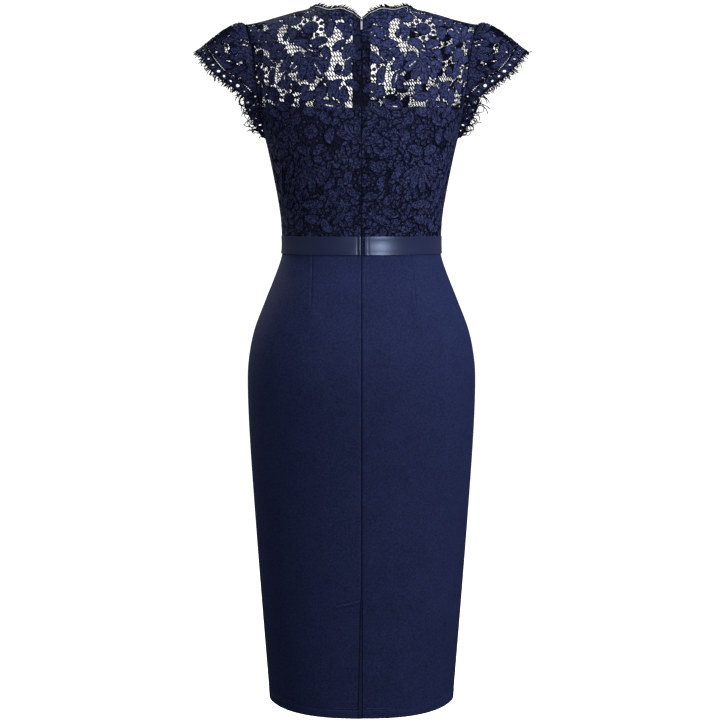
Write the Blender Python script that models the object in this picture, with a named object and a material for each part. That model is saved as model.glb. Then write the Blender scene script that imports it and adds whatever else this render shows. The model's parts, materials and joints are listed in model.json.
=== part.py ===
"""Cocktail dress: lace bodice with cap sleeves over a lining, satin waist ribbon, pencil skirt.

Run with Blender 4.5:  blender --background --python part.py

The dress keeps its worn, hollow form. +Z is up, the back faces +Y and the wearer's left is +X.
The origin lies between the shoulders, level with the points where the shoulder seams meet the
neck. Heights in the tables are measured from there, so they are negative below it.
All sizes are millimetres here and become metres when a mesh is made.
"""
import math
from collections import namedtuple

import bmesh
import bpy
from mathutils import Matrix, Vector

MM = 0.001

# ---------------------------------------------------------------- driving dimensions, mm
CLOTH = 1.0                 # wall of every cloth piece
GAP = 0.3                   # clearance between neighbouring pieces
HALF_GAP = GAP / 2
SEWN_GAP = 0.4              # the sleeve's and its fringe's, which twist as they go round
UNDERARM_GAP = 0.8          # theirs at the underarm, where they turn most

HEM_HEIGHT = -1022.0
WAIST_SEAM = -345.0
UNDERARM = -190.0
SHOULDER_POINT = (167.0, -26.0)     # x and height of the shoulder seam's outer end
NECK_POINT = (74.0, -2.0)           # x and height of the shoulder seam's neck end
SHOULDER_ROUND = 120.0              # height over which the body rounds over to the shoulder seam
SHOULDER_POWER = 2.1

FRONT_NECK_DROP = 126.0             # the front scoop, below the neck point
FRONT_NECK_POWER = 2.3

LINING_TOP = -152.7                 # at the centre; the edge rises a little to the armholes
LINING_RISE = 5.5

RIBBON_TOP = -332.0
RIBBON_BOTTOM = -358.0
RIBBON_START_LEFT = 0.8             # x of the ribbon's ends either side of the zip
RIBBON_START_RIGHT = 4.2

ZIP_SLIT = 0.8                      # half the slit between the lace edges at the zip
TAPE_EDGE = 13.0                    # half the width of the closed zip's two tapes
TAPE_WALL = 0.9
TAPE_BOTTOM = -455.0

VENT_TOP = -848.0
VENT_SLOPE = 0.29                   # the underlap's top edge drops this much for each mm across
VENT_UNDERLAP = 38.0
VENT_FLAP_DRIFT = 4.0               # how far the flap's edge has moved from the centre at the hem
VENT_CREASE = 1.75                  # x of the crease where the right back steps under the flap
VENT_STEP = 1.6                     # distance over which it steps in

SLEEVE_FRINGE = 12.0                # reach of the eyelash fringe past the lace edges
NECK_FRINGE = 9.5
NECK_FRINGE_AT_ZIP = 3.0
NOTCH_WIDTH = 20.0                  # half the notch, over which the fringe grows to its full reach

# ---------------------------------------------------------------- tables, mm
# The body that the cloth lies on, ring by ring: half width, depth behind and in front of the
# plane through the side seams, and the power of the superellipse (2 is an ellipse).
Ring = namedtuple("Ring", "height half_width back front power")
BODY = [
    Ring(60.0, 180.0, 80.0, 84.0, 2.40),
    Ring(-26.0, 174.0, 92.0, 96.0, 2.40),
    Ring(-80.0, 165.0, 101.0, 104.0, 2.40),
    Ring(-140.0, 152.0, 104.0, 116.0, 2.40),
    Ring(-190.0, 140.6, 101.5, 124.0, 2.36),
    Ring(-246.0, 128.4, 96.0, 123.0, 2.32),
    Ring(-295.0, 120.0, 89.0, 107.0, 2.28),
    Ring(-333.0, 116.7, 85.0, 96.0, 2.25),
    Ring(-359.0, 117.6, 87.0, 95.0, 2.24),
    Ring(-383.0, 125.0, 93.0, 98.0, 2.22),
    Ring(-427.0, 142.5, 108.0, 103.0, 2.20),
    Ring(-472.0, 159.4, 119.0, 107.0, 2.20),
    Ring(-516.0, 167.7, 125.0, 108.0, 2.20),
    Ring(-554.0, 169.2, 125.5, 108.0, 2.20),
    Ring(-629.0, 166.7, 119.0, 106.0, 2.20),
    Ring(-742.0, 159.8, 111.0, 103.0, 2.20),
    Ring(-879.0, 150.2, 106.0, 100.0, 2.20),
    Ring(-1022.0, 139.4, 104.0, 98.0, 2.20),
]

# The shoulder line seen from behind. Past the neck point it goes on up the neck, which only
# shapes the cloth below the neckline.
LinePoint = namedtuple("LinePoint", "x height")
SHOULDER_LINE = [
    LinePoint(0.0, 47.0),
    LinePoint(40.0, 23.0),
    LinePoint(74.0, -2.0),
    LinePoint(97.0, -8.5),
    LinePoint(122.0, -15.5),
    LinePoint(150.0, -23.0),
    LinePoint(167.0, -26.0),
    LinePoint(190.0, -30.0),
]

# The back neckline, nearly level with a notch at the zip.
BACK_NECK = [
    LinePoint(0.0, -28.0),
    LinePoint(6.0, -23.5),
    LinePoint(13.3, -17.5),
    LinePoint(27.0, -12.5),
    LinePoint(50.0, -8.5),
    LinePoint(74.0, -2.0),
]

# The armhole seam's distance from the centre, down to where it turns in to the underarm.
SeamPoint = namedtuple("SeamPoint", "height x")
ARMHOLE = [
    SeamPoint(60.0, 172.0),
    SeamPoint(-26.0, 167.0),
    SeamPoint(-50.0, 160.0),
    SeamPoint(-80.0, 154.0),
    SeamPoint(-120.0, 149.5),
    SeamPoint(-150.0, 147.0),
]
ARMHOLE_TURN = -150.0
ARMHOLE_TURN_POWER = 0.55           # how roundly the seam closes below that

# The cap sleeve from the shoulder down to the underarm: for each height on the armhole seam,
# where its edge is, how high the gathered head stands and how deep it is cut.
SleeveRow = namedtuple("SleeveRow", "armhole_height edge_x edge_y edge_height crown")
SLEEVE = [
    SleeveRow(-26.0, 240.0, 0.0, -62.0, 10.0),
    SleeveRow(-38.0, 235.5, 14.0, -68.0, 9.0),
    SleeveRow(-56.0, 225.0, 27.0, -83.0, 7.5),
    SleeveRow(-76.0, 209.0, 36.0, -101.0, 5.5),
    SleeveRow(-98.0, 187.0, 41.0, -116.0, 3.5),
    SleeveRow(-122.0, 171.0, 42.0, -132.0, 2.0),
    SleeveRow(-148.0, 166.0, 36.0, -150.0, 1.0),
    SleeveRow(-170.0, 156.0, 23.0, -170.0, 0.5),
    SleeveRow(-190.0, 145.1, 0.0, -189.0, 0.0),
]

# ---------------------------------------------------------------- grid divisions
ANGLE_STEPS = 9                     # columns from the centre to a side seam
NECK_COLUMN = {"back": 4, "front": 6}       # the column that ends at the neck point
BODICE_LOWER_ROWS = [-344.85, -332.0, -305.0, -276.0, -247.0, -217.0, -190.0]
LINED_SHARES = [0.2, 0.58, 1.0]     # from the underarm to the lining's top
YOKE_SHARES = [0.17, 0.34, 0.51, 0.67, 0.82, 0.94, 1.0]     # from the lining's top to the border
SKIRT_ROWS = [-1022.0, -965.0, -908.0, -848.0, -841.0, -772.0, -702.0, -629.0, -554.0, -500.0,
              -455.0, -415.0, -382.0, -358.0, -345.15]
SLEEVE_SHARES = [0.0, 0.17, 0.36, 0.57, 0.78, 1.0]

SIGN = {"back": 1.0, "front": -1.0}

NAVY = (0.012, 0.017, 0.055)
NAVY_DEEP = (0.010, 0.013, 0.036)
NAVY_SATIN = (0.030, 0.042, 0.110)
NAVY_METAL = (0.035, 0.045, 0.110)


# ---------------------------------------------------------------- table lookup
def along(table, column, at):
    """A column of a table, read smoothly at a value of its first column."""
    rows = sorted(table)
    keys = [row[0] for row in rows]
    values = [getattr(row, column) for row in rows]
    at = min(max(at, keys[0]), keys[-1])
    i = 0
    while i < len(keys) - 2 and at > keys[i + 1]:
        i += 1
    slopes = []
    for k in (i, i + 1):
        before = max(k - 1, 0)
        after = min(k + 1, len(keys) - 1)
        slopes.append((values[after] - values[before]) / (keys[after] - keys[before]))
    span = keys[i + 1] - keys[i]
    t = (at - keys[i]) / span
    rise = values[i + 1] - values[i]
    start = slopes[0] * span
    end = slopes[1] * span
    return values[i] + t * (start + t * (3 * rise - 2 * start - end + t * (start + end - 2 * rise)))


def mix(a, b, share):
    return a + (b - a) * share


# ---------------------------------------------------------------- the body surface
def shoulder_share(x, height):
    """How far a point lies down the rounding below the shoulder line, from 0 to 1."""
    below = along(SHOULDER_LINE, "height", abs(x)) - height
    return min(max(below / SHOULDER_ROUND, 0.0), 1.0)


def body_point(side, x, height):
    """The outer surface of the cloth at one side's x and height."""
    width = along(BODY, "half_width", height)
    power = along(BODY, "power", height)
    flat = (1 - min(abs(x) / width, 1.0) ** power) ** (1 / power)
    share = shoulder_share(x, height)
    rounding = (1 - (1 - share) ** SHOULDER_POWER) ** (1 / SHOULDER_POWER)
    y = along(BODY, side, height) * flat * rounding + HALF_GAP
    return Vector((x, SIGN[side] * y, height))


def armhole_x(side, height):
    """The armhole seam's distance from the centre at a height above the underarm."""
    if height >= ARMHOLE_TURN:
        return along(ARMHOLE, "x", height)
    at_turn = abs(body_point(side, along(ARMHOLE, "x", ARMHOLE_TURN), ARMHOLE_TURN).y)
    share = max(height - UNDERARM, 0.0) / (ARMHOLE_TURN - UNDERARM)
    reach = (at_turn - HALF_GAP) * share ** ARMHOLE_TURN_POWER / along(BODY, side, height)
    power = along(BODY, "power", height)
    return along(BODY, "half_width", height) * (1 - reach ** power) ** (1 / power)


def surface_excess(side, x, y, height):
    """Zero on the body surface and positive outside it."""
    width = along(BODY, "half_width", height)
    power = along(BODY, "power", height)
    depth = along(BODY, side, height)
    share = shoulder_share(x, height)
    if share < 1:
        flat = (1 - min(abs(x) / width, 0.999) ** power) ** (1 / power)
        return (abs(y) / (depth * flat)) ** SHOULDER_POWER + (1 - share) ** SHOULDER_POWER - 1
    return (abs(x) / width) ** power + (abs(y) / depth) ** power - 1


def body_normal(side, point, flatten=""):
    """The outward normal; flatten names the axes along which a seam keeps it from leaning."""
    step = 0.05
    x = point.x
    y = point.y - SIGN[side] * HALF_GAP
    z = point.z
    slope = [
        surface_excess(side, x + step, y, z) - surface_excess(side, x - step, y, z),
        surface_excess(side, x, y + step, z) - surface_excess(side, x, y - step, z),
        surface_excess(side, x, y, z + step) - surface_excess(side, x, y, z - step),
    ]
    for axis in flatten:
        slope["xyz".index(axis)] = 0.0
    return Vector(slope).normalized()


def angle_fraction(step, height):
    """A column's share of the half width, from evenly spaced angles round the ring."""
    angle = math.radians(90.0 * step / ANGLE_STEPS)
    return math.sin(angle) ** (2 / along(BODY, "power", height))


# ---------------------------------------------------------------- panel grids
Node = namedtuple("Node", "point normal")


def vent_column(x, height):
    """The first full column drifts out to the underlap's edge on its way down to the vent."""
    return mix(x, VENT_UNDERLAP, min((WAIST_SEAM - height) / (WAIST_SEAM - VENT_TOP), 1.0))


def lower_node(side, step, height, centre_x, flatten=""):
    """A grid point below the underarm. Step 0 is the centre and 0.5 the zip tape's column."""
    if step == 0:
        x = centre_x
    elif step == 0.5:
        x = TAPE_EDGE + GAP
    else:
        x = along(BODY, "half_width", height) * angle_fraction(step, height)
    if step == 1 and side == "back" and height < WAIST_SEAM:
        x = vent_column(x, height)
    if step == 0:
        flatten += "x"
    if step == ANGLE_STEPS:
        flatten += "y"
    point = body_point(side, x, height)
    return Node(point, body_normal(side, point, flatten))


def border_point(side, step):
    """Where a column of the upper bodice ends: on the neckline or on the shoulder seam."""
    last_neck = NECK_COLUMN[side]
    if step >= last_neck:
        share = (step - last_neck) / (ANGLE_STEPS - last_neck)
        x = mix(NECK_POINT[0], SHOULDER_POINT[0], share)
        return x, along(SHOULDER_LINE, "height", x)
    share = math.sin(math.radians(90.0 * step / last_neck))
    if side == "back":
        if step == 0:
            x = ZIP_SLIT
        elif step == 0.5:
            x = TAPE_EDGE + GAP
        else:
            x = mix(TAPE_EDGE + GAP, NECK_POINT[0], share)
        return x, along(BACK_NECK, "height", x)
    angle = math.radians(90.0 * share)
    x = NECK_POINT[0] * math.sin(angle) ** (2 / FRONT_NECK_POWER)
    drop = FRONT_NECK_DROP * max(math.cos(angle), 0.0) ** (2 / FRONT_NECK_POWER)
    return x, NECK_POINT[1] - drop


def upper_node(side, step, height_of_row):
    """A grid point above the underarm; height_of_row gives its height from its border's."""
    border_x, border_height = border_point(side, step)
    height = height_of_row(step, border_height)
    fixed = {0: ZIP_SLIT if side == "back" else 0.0, 0.5: TAPE_EDGE + GAP}
    if step in fixed:
        x = fixed[step]
    else:
        share = (height - UNDERARM) / (border_height - UNDERARM)
        at_top = border_x / armhole_x(side, border_height)
        x = armhole_x(side, height) * mix(angle_fraction(step, UNDERARM), at_top, share)
    flatten = "x" if step == 0 else ""
    if abs(height - border_height) < 1e-6 and step >= NECK_COLUMN[side]:
        flatten += "y"
    if step == ANGLE_STEPS and abs(height - UNDERARM) < 1e-6:
        flatten += "y"
    point = body_point(side, x, height)
    return Node(point, body_normal(side, point, flatten))


def lining_top_height(step):
    return LINING_TOP + LINING_RISE * angle_fraction(step, UNDERARM) ** 2


def column_steps(side):
    """The columns of one half panel, from the centre out."""
    whole = [float(step) for step in range(ANGLE_STEPS + 1)]
    return [0.0, 0.5] + whole[1:] if side == "back" else whole


def bodice_rows(side):
    """The half bodice panel's grid, from the waist seam up to the neckline and shoulder."""
    steps = column_steps(side)
    centre = ZIP_SLIT if side == "back" else 0.0
    rows = []
    for height in BODICE_LOWER_ROWS:
        flatten = "z" if height == BODICE_LOWER_ROWS[0] else ""
        rows.append([lower_node(side, step, height, centre, flatten) for step in steps])
    for share in LINED_SHARES:
        rows.append([
            upper_node(side, step, lambda s, top: mix(UNDERARM, lining_top_height(s), share))
            for step in steps
        ])
    for share in YOKE_SHARES:
        rows.append([
            upper_node(side, step, lambda s, top: mix(lining_top_height(s), top, share))
            for step in steps
        ])
    return rows


UNDERARM_ROW = len(BODICE_LOWER_ROWS) - 1
LINING_TOP_ROW = UNDERARM_ROW + len(LINED_SHARES)


def skirt_rows(side, centre_x):
    """A half skirt's grid from the hem up; centre_x gives the first column's x."""
    rows = []
    for height in SKIRT_ROWS:
        flatten = "z" if height == SKIRT_ROWS[-1] else ""
        rows.append([
            lower_node(side, step, height, centre_x(height), flatten)
            for step in column_steps(side)
        ])
    return rows


def mirrored(rows):
    """The same grid on the wearer's right."""
    flip = Vector((-1.0, 1.0, 1.0))
    return [[Node(n.point * flip, n.normal * flip) for n in row] for row in rows]


def whole_front(rows):
    """Both halves of a front panel in one grid."""
    return [other[:0:-1] + half for half, other in zip(rows, mirrored(rows))]


# ---------------------------------------------------------------- building meshes
def material(name, colour, roughness, metallic=0.0):
    made = bpy.data.materials.new(name)
    made.use_nodes = True
    shader = made.node_tree.nodes["Principled BSDF"]
    shader.inputs["Base Color"].default_value = (*colour, 1.0)
    shader.inputs["Roughness"].default_value = roughness
    shader.inputs["Metallic"].default_value = metallic
    made.diffuse_color = (*colour, 1.0)
    return made


def add_object(name, mesh, look, collection):
    mesh.materials.append(look)
    made = bpy.data.objects.new(name, mesh)
    collection.objects.link(made)
    return made


def cloth_wall(name, rows, look, collection, depth=0.0, wall=CLOTH, keep=None):
    """A closed wall between a grid moved depth inwards and the same grid a wall deeper.

    keep(row, column) leaves cells of the grid out where it is false.
    """
    across = len(rows[0])
    mesh = bpy.data.meshes.new(name)
    bm = bmesh.new()
    outer = {}
    inner = {}
    edges = {}
    for r in range(len(rows) - 1):
        for c in range(across - 1):
            if keep and not keep(r, c):
                continue
            corners = [(r, c), (r, c + 1), (r + 1, c + 1), (r + 1, c)]
            for at in corners:
                if at not in outer:
                    node = rows[at[0]][at[1]]
                    outer[at] = bm.verts.new((node.point - node.normal * depth) * MM)
                    inner[at] = bm.verts.new((node.point - node.normal * (depth + wall)) * MM)
            for triangle in (corners[:3], [corners[0]] + corners[2:]):
                bm.faces.new([outer[at] for at in triangle])
                bm.faces.new([inner[at] for at in reversed(triangle)])
            for start, end in zip(corners, corners[1:] + corners[:1]):
                edges[(start, end)] = True
    for start, end in edges:
        if (end, start) not in edges:
            bm.faces.new([outer[end], outer[start], inner[start], inner[end]])
    bmesh.ops.recalc_face_normals(bm, faces=bm.faces)
    bm.to_mesh(mesh)
    bm.free()
    mesh.shade_smooth()
    mesh.set_sharp_from_angle(angle=math.radians(40))
    return add_object(name, mesh, look, collection)


# ---------------------------------------------------------------- skirt
def add_skirt(look, collection):
    front = skirt_rows("front", lambda height: 0.0)
    cloth_wall("skirt_front", whole_front(front), look, collection)

    def vent_share(height):
        return min(max((VENT_TOP - height) / (VENT_TOP - HEM_HEIGHT), 0.0), 1.0)

    flap = skirt_rows("back", lambda height: mix(HALF_GAP, VENT_FLAP_DRIFT, vent_share(height)))
    cloth_wall("skirt_back_left", flap, look, collection)

    def crease(height):
        return VENT_CREASE if height <= VENT_TOP else HALF_GAP

    right = mirrored(skirt_rows("back", crease))
    under_x = [VENT_STEP - VENT_CREASE, TAPE_EDGE + GAP, VENT_UNDERLAP]
    rows = []
    for height, row in zip(SKIRT_ROWS, right):
        under = []
        for x in under_x:
            at = height - VENT_SLOPE * max(x, 0.0) * (1 - vent_share(height))
            point = body_point("back", x, max(at, HEM_HEIGHT))
            normal = body_normal("back", point)
            under.append(Node(point - normal * (CLOTH + GAP), normal))
        rows.append(list(reversed(under)) + row)

    def keep(row, column):
        return column >= len(under_x) or SKIRT_ROWS[row + 1] <= VENT_TOP

    cloth_wall("skirt_back_right", rows, look, collection, keep=keep)


# ---------------------------------------------------------------- bodice
def add_bodice(lace, lining, collection):
    front = bodice_rows("front")
    back = bodice_rows("back")
    cloth_wall("bodice_front_lace", whole_front(front), lace, collection)
    cloth_wall("bodice_back_lace_left", back, lace, collection)
    cloth_wall("bodice_back_lace_right", mirrored(back), lace, collection)
    under = CLOTH + GAP
    lined_front = front[:LINING_TOP_ROW + 1]
    lined_back = [row[1:] for row in back[:LINING_TOP_ROW + 1]]
    cloth_wall("lining_front", whole_front(lined_front), lining, collection, under)
    cloth_wall("lining_back_left", lined_back, lining, collection, under)
    cloth_wall("lining_back_right", mirrored(lined_back), lining, collection, under)
    return front, back


def add_ribbon(look, collection):
    """One strip from the zip round the front and back to the zip."""
    rows = []
    for height in (RIBBON_BOTTOM, (RIBBON_TOP + RIBBON_BOTTOM) / 2, RIBBON_TOP):
        left = [
            lower_node("back", step, height, RIBBON_START_LEFT) for step in column_steps("back")
        ]
        right = [
            lower_node("back", step, height, RIBBON_START_RIGHT) for step in column_steps("back")
        ]
        front = [lower_node("front", step, height, 0.0) for step in column_steps("front")]
        across = whole_front([front])[0]
        rows.append(left + across[::-1] + mirrored([right])[0][::-1])
    cloth_wall("waist_ribbon", rows, look, collection, depth=-(CLOTH + GAP))


# ---------------------------------------------------------------- sleeves
def sleeve_point(armhole, side, share):
    """A point of the sleeve between its armhole seam and its edge."""
    height = min(armhole.point.z, SHOULDER_POINT[1])
    edge = Vector((
        along(SLEEVE, "edge_x", height),
        SIGN[side] * (along(SLEEVE, "edge_y", height) + HALF_GAP),
        along(SLEEVE, "edge_height", height),
    ))
    crown = max(along(SLEEVE, "crown", height), 0.0)
    lift = crown * math.sin(math.pi * share ** 0.6)
    return armhole.point.lerp(edge, share) + armhole.normal * lift


def sleeve_rows(front, back):
    """The sleeve's grid, from the underarm up the back, over the shoulder and down the front."""
    seam = [("back", row[-1], row[-2]) for row in back[UNDERARM_ROW:]]
    seam += [("front", row[-1], row[-2]) for row in reversed(front[UNDERARM_ROW:-1])]
    shoulder = len(back) - 1 - UNDERARM_ROW
    last = len(seam) - 1
    points = []
    for r, (side, armhole, inside) in enumerate(seam):
        along_seam = seam[min(r + 1, last)][1].point - seam[max(r - 1, 0)][1].point
        outward = along_seam.cross(armhole.normal)
        if outward.dot(armhole.point - inside.point) < 0:
            outward.negate()
        gap = SEWN_GAP
        if r in (0, last):
            outward = Vector((0.0, 0.0, 1.0))
            gap = UNDERARM_GAP
        row = [armhole.point + outward.normalized() * gap]
        row += [sleeve_point(armhole, side, share) for share in SLEEVE_SHARES[1:]]
        if r == shoulder:
            row = [point * Vector((1.0, 0.0, 1.0)) for point in row]
        points.append(row)
    return grid_nodes(points, shoulder)


def grid_nodes(points, upright):
    """Normals for a free grid, all on the side that is up in the row upright."""
    last = len(points) - 1
    normals = []
    for r, line in enumerate(points):
        normals.append([])
        for c in range(len(line)):
            before = points[max(r - 1, 0)][c]
            after = points[min(r + 1, last)][c]
            across = line[min(c + 1, len(line) - 1)] - line[max(c - 1, 0)]
            normal = (after - before).cross(across)
            if r in (0, last, upright):
                normal.y = 0.0
            normals[r].append(normal.normalized())
    turn = 1.0 if normals[upright][0].z > 0 else -1.0
    return [
        [Node(point, normal * turn) for point, normal in zip(line, around)]
        for line, around in zip(points, normals)
    ]


def square_to(edge, i, inside, level=""):
    """The direction off an edge at its point i, in the cloth's surface and away from inside."""
    last = len(edge) - 1
    along_edge = edge[min(i + 1, last)].point - edge[max(i - 1, 0)].point
    direction = along_edge.cross(edge[i].normal)
    if direction.dot(edge[i].point - inside) < 0:
        direction.negate()
    for axis in level:
        direction["xyz".index(axis)] = 0.0
    return direction.normalized()


def sleeve_fringe_rows(rows):
    """A strip that carries the sleeve on past its edge."""
    edge = [row[-1] for row in rows]
    last = len(rows) - 1
    strip = []
    for r, row in enumerate(rows):
        at_end = r in (0, last)
        direction = square_to(edge, r, row[-2].point, "y" if at_end else "")
        start = edge[r].point + direction * (UNDERARM_GAP if at_end else SEWN_GAP)
        end = edge[r].point + direction * SLEEVE_FRINGE
        strip.append([Node(start, edge[r].normal), Node(end, edge[r].normal)])
    return strip


def add_sleeves(front, back, lace, fringe, collection):
    rows = sleeve_rows(front, back)
    strip = sleeve_fringe_rows(rows)
    cloth_wall("sleeve_left", rows, lace, collection)
    cloth_wall("sleeve_right", mirrored(rows), lace, collection)
    cloth_wall("sleeve_fringe_left", strip, fringe, collection)
    cloth_wall("sleeve_fringe_right", mirrored(strip), fringe, collection)


# ---------------------------------------------------------------- neckline fringe
def neck_strip(border, below, side):
    """A strip standing on the neckline, square to it in the cloth's own surface."""
    rows = []
    last = len(border) - 1
    for c, node in enumerate(border):
        level = {0: "x", last: "y"}.get(c, "")
        direction = square_to(border, c, below[c].point, level)
        reach = NECK_FRINGE
        if side == "back":
            reach = mix(NECK_FRINGE_AT_ZIP, NECK_FRINGE, min(node.point.x / NOTCH_WIDTH, 1.0))
        normal = node.normal.copy()
        if c == last:
            normal.y = 0.0
        normal.normalize()
        start = node.point + direction * GAP
        end = node.point + direction * reach
        rows.append([Node(start, normal), Node(end, normal)])
    return rows


def add_neck_fringe(front, back, look, collection):
    columns = NECK_COLUMN["back"] + 2
    strip = neck_strip(back[-1][:columns], back[-2][:columns], "back")
    cloth_wall("neck_fringe_back_left", strip, look, collection)
    cloth_wall("neck_fringe_back_right", mirrored(strip), look, collection)
    columns = NECK_COLUMN["front"] + 1
    half = neck_strip(front[-1][:columns], front[-2][:columns], "front")
    other = mirrored(half)
    cloth_wall("neck_fringe_front", other[:0:-1] + half, look, collection)


# ---------------------------------------------------------------- zip
def add_zip_tapes(back, look, collection):
    """Tapes behind the lace and the skirt's centre seam, on the same rows as those panels."""
    heights = [(height, height) for height in SKIRT_ROWS if height >= TAPE_BOTTOM]
    heights += [(row[0].point.z, row[1].point.z) for row in back[:-1]]
    rows = []
    for inner_height, outer_height in heights:
        row = []
        for x, height in ((HALF_GAP, inner_height), (TAPE_EDGE, outer_height)):
            point = body_point("back", x, height)
            row.append(Node(point, body_normal("back", point, "x" if x == HALF_GAP else "")))
        rows.append(row)
    depth = CLOTH + GAP
    cloth_wall("zip_tape_left", rows, look, collection, depth, TAPE_WALL)
    cloth_wall("zip_tape_right", mirrored(rows), look, collection, depth, TAPE_WALL)


# The slider and its tab are drawn in the zip's own frame: x across, y out of the cloth, z up
# along it. The frame's zero is on the cloth's outer surface.
SLIDER_HEIGHT = -32.0               # where the frame lies on the centre back
SLIDER_WIDTH = 5.0
SLIDER_FRONT = -3.0
SLIDER_BACK = -5.9
SLIDER_TOP = 3.2
SLIDER_BOTTOM = -4.2
BAIL_WIDTH = 0.9
BAIL_HALF_LENGTH = 1.5              # along the zip, and the radius of its round end
BAIL_HOLE = 0.7
HINGE_OUT = 1.7                     # the hinge axis above the cloth
HINGE_UP = 0.5
PIN_RADIUS = 0.4
TAB_WIDTH = 4.2
TAB_WALL = 0.9
TAB_LENGTH = 12.5
TAB_TOP = -2.0                      # the tab's body starts this far below the hinge
CHEEK_GAP = 0.75                    # half the space between the cheeks that hold the pin
CHEEK_RADIUS = 1.1
KNUCKLE_HALF_LENGTH = 0.55
TAB_CLEARANCE = 0.35                # between the tab's back and the cloth
ROUND_SIDES = 16


def zip_frame():
    """The zip's frame as a matrix, in mm."""
    origin = body_point("back", 0.0, SLIDER_HEIGHT)
    out = body_normal("back", origin, "x")
    up = Vector((1.0, 0.0, 0.0)).cross(out)
    turn = Matrix((Vector((1.0, 0.0, 0.0)), out, up)).transposed()
    return Matrix.Translation(origin) @ turn.to_4x4()


def box_mesh(bm, low, high):
    made = bmesh.ops.create_cube(bm, size=1.0)["verts"]
    size = [b - a for a, b in zip(low, high)]
    middle = [(a + b) / 2 for a, b in zip(low, high)]
    bmesh.ops.scale(bm, vec=size, verts=made)
    bmesh.ops.translate(bm, vec=middle, verts=made)
    return made


def plate_mesh(bm, outline, offset):
    """A plate from a flat outline, thickened along offset."""
    face = bm.faces.new([bm.verts.new(point) for point in outline])
    grown = bmesh.ops.extrude_face_region(bm, geom=[face], use_keep_orig=True)["geom"]
    verts = [item for item in grown if isinstance(item, bmesh.types.BMVert)]
    bmesh.ops.translate(bm, vec=offset, verts=verts)
    return verts


def half_circle(radius, first_degrees):
    """Points of a half circle round zero, anticlockwise from first_degrees."""
    steps = ROUND_SIDES // 2
    angles = [math.radians(first_degrees + 180.0 * k / steps) for k in range(steps + 1)]
    return [(radius * math.cos(angle), radius * math.sin(angle)) for angle in angles]


def rod_mesh(bm, centre, radius, half_length):
    """A rod along X."""
    made = bmesh.ops.create_cone(
        bm, cap_ends=True, segments=ROUND_SIDES, radius1=radius, radius2=radius,
        depth=2 * half_length,
    )["verts"]
    bmesh.ops.rotate(bm, verts=made, matrix=Matrix.Rotation(math.pi / 2, 3, "Y"))
    bmesh.ops.translate(bm, vec=centre, verts=made)
    return made


def solid_from(name, shapes, collection):
    """A mesh object from closed shapes made by the functions above, in metres."""
    mesh = bpy.data.meshes.new(name)
    bm = bmesh.new()
    for shape in shapes:
        shape(bm)
    bmesh.ops.scale(bm, vec=(MM, MM, MM), verts=bm.verts)
    bmesh.ops.recalc_face_normals(bm, faces=bm.faces)
    bm.to_mesh(mesh)
    bm.free()
    made = bpy.data.objects.new(name, mesh)
    collection.objects.link(made)
    return made


def combine(target, operation, tool):
    """A Boolean with another object, which becomes a hidden cutter."""
    modifier = target.modifiers.new(tool.name, "BOOLEAN")
    modifier.operation = operation
    modifier.object = tool
    modifier.solver = "EXACT"
    tool.hide_render = True
    tool.display_type = "WIRE"


def add_slider(frame, look, collection, cutters):
    """The slider's body behind the tapes, with the bail that comes out through the slit."""
    half = SLIDER_WIDTH / 2
    slider = solid_from("zip_slider", [
        lambda bm: box_mesh(
            bm, (-half, SLIDER_BACK, SLIDER_BOTTOM), (half, SLIDER_FRONT, SLIDER_TOP))
    ], collection)
    root = SLIDER_FRONT - 0.5
    side = BAIL_WIDTH / 2
    outline = [(-side, HINGE_OUT + y, HINGE_UP + z) for y, z in half_circle(BAIL_HALF_LENGTH, -90)]
    outline += [
        (-side, root, HINGE_UP + BAIL_HALF_LENGTH), (-side, root, HINGE_UP - BAIL_HALF_LENGTH)
    ]
    bail = solid_from("slider_bail", [
        lambda bm: plate_mesh(bm, outline, (BAIL_WIDTH, 0, 0))
    ], cutters)
    hole = solid_from("slider_bail_hole", [
        lambda bm: rod_mesh(bm, (0, HINGE_OUT, HINGE_UP), BAIL_HOLE, BAIL_WIDTH)
    ], cutters)
    combine(slider, "UNION", bail)
    combine(slider, "DIFFERENCE", hole)
    slider.data.materials.append(look)
    place = Matrix.Translation(frame.translation * MM) @ frame.to_3x3().to_4x4()
    for made in (slider, bail, hole):
        made.matrix_world = place


def add_pull(frame, look, collection, cutters):
    """The pull tab, drawn round its hinge and hung on an empty that lies on the hinge's axis."""
    outer = TAB_WIDTH / 2
    back = TAB_CLEARANCE - HINGE_OUT
    toe = TAB_TOP - TAB_LENGTH + outer
    slot = CHEEK_GAP
    outline = [(x, back, toe + z) for x, z in half_circle(outer, 180)]
    outline += [(outer, back, 0), (slot, back, 0), (slot, back, TAB_TOP)]
    outline += [(-slot, back, TAB_TOP), (-slot, back, 0), (-outer, back, 0)]
    pull = solid_from("zip_pull", [
        lambda bm: plate_mesh(bm, outline, (0, TAB_WALL, 0))
    ], collection)
    middle = (outer + slot) / 2
    tools = []
    for side in (-1, 1):
        tools.append(solid_from("pull_knuckle", [
            lambda bm: rod_mesh(bm, (side * middle, 0, 0), CHEEK_RADIUS, KNUCKLE_HALF_LENGTH)
        ], cutters))
    tools.append(solid_from("pull_pin", [
        lambda bm: rod_mesh(bm, (0, 0, 0), PIN_RADIUS, middle)
    ], cutters))
    for tool in tools:
        combine(pull, "UNION", tool)
    pull.data.materials.append(look)

    hinge = bpy.data.objects.new("pull_hinge", None)
    hinge.empty_display_size = 0.01
    collection.objects.link(hinge)
    origin = frame @ Vector((0.0, HINGE_OUT, HINGE_UP))
    hinge.matrix_world = Matrix.Translation(origin * MM) @ frame.to_3x3().to_4x4()
    for made in [pull] + tools:
        made.parent = hinge


# ---------------------------------------------------------------- the whole dress
def clear_scene():
    for old in list(bpy.data.objects):
        bpy.data.objects.remove(old, do_unlink=True)


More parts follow.
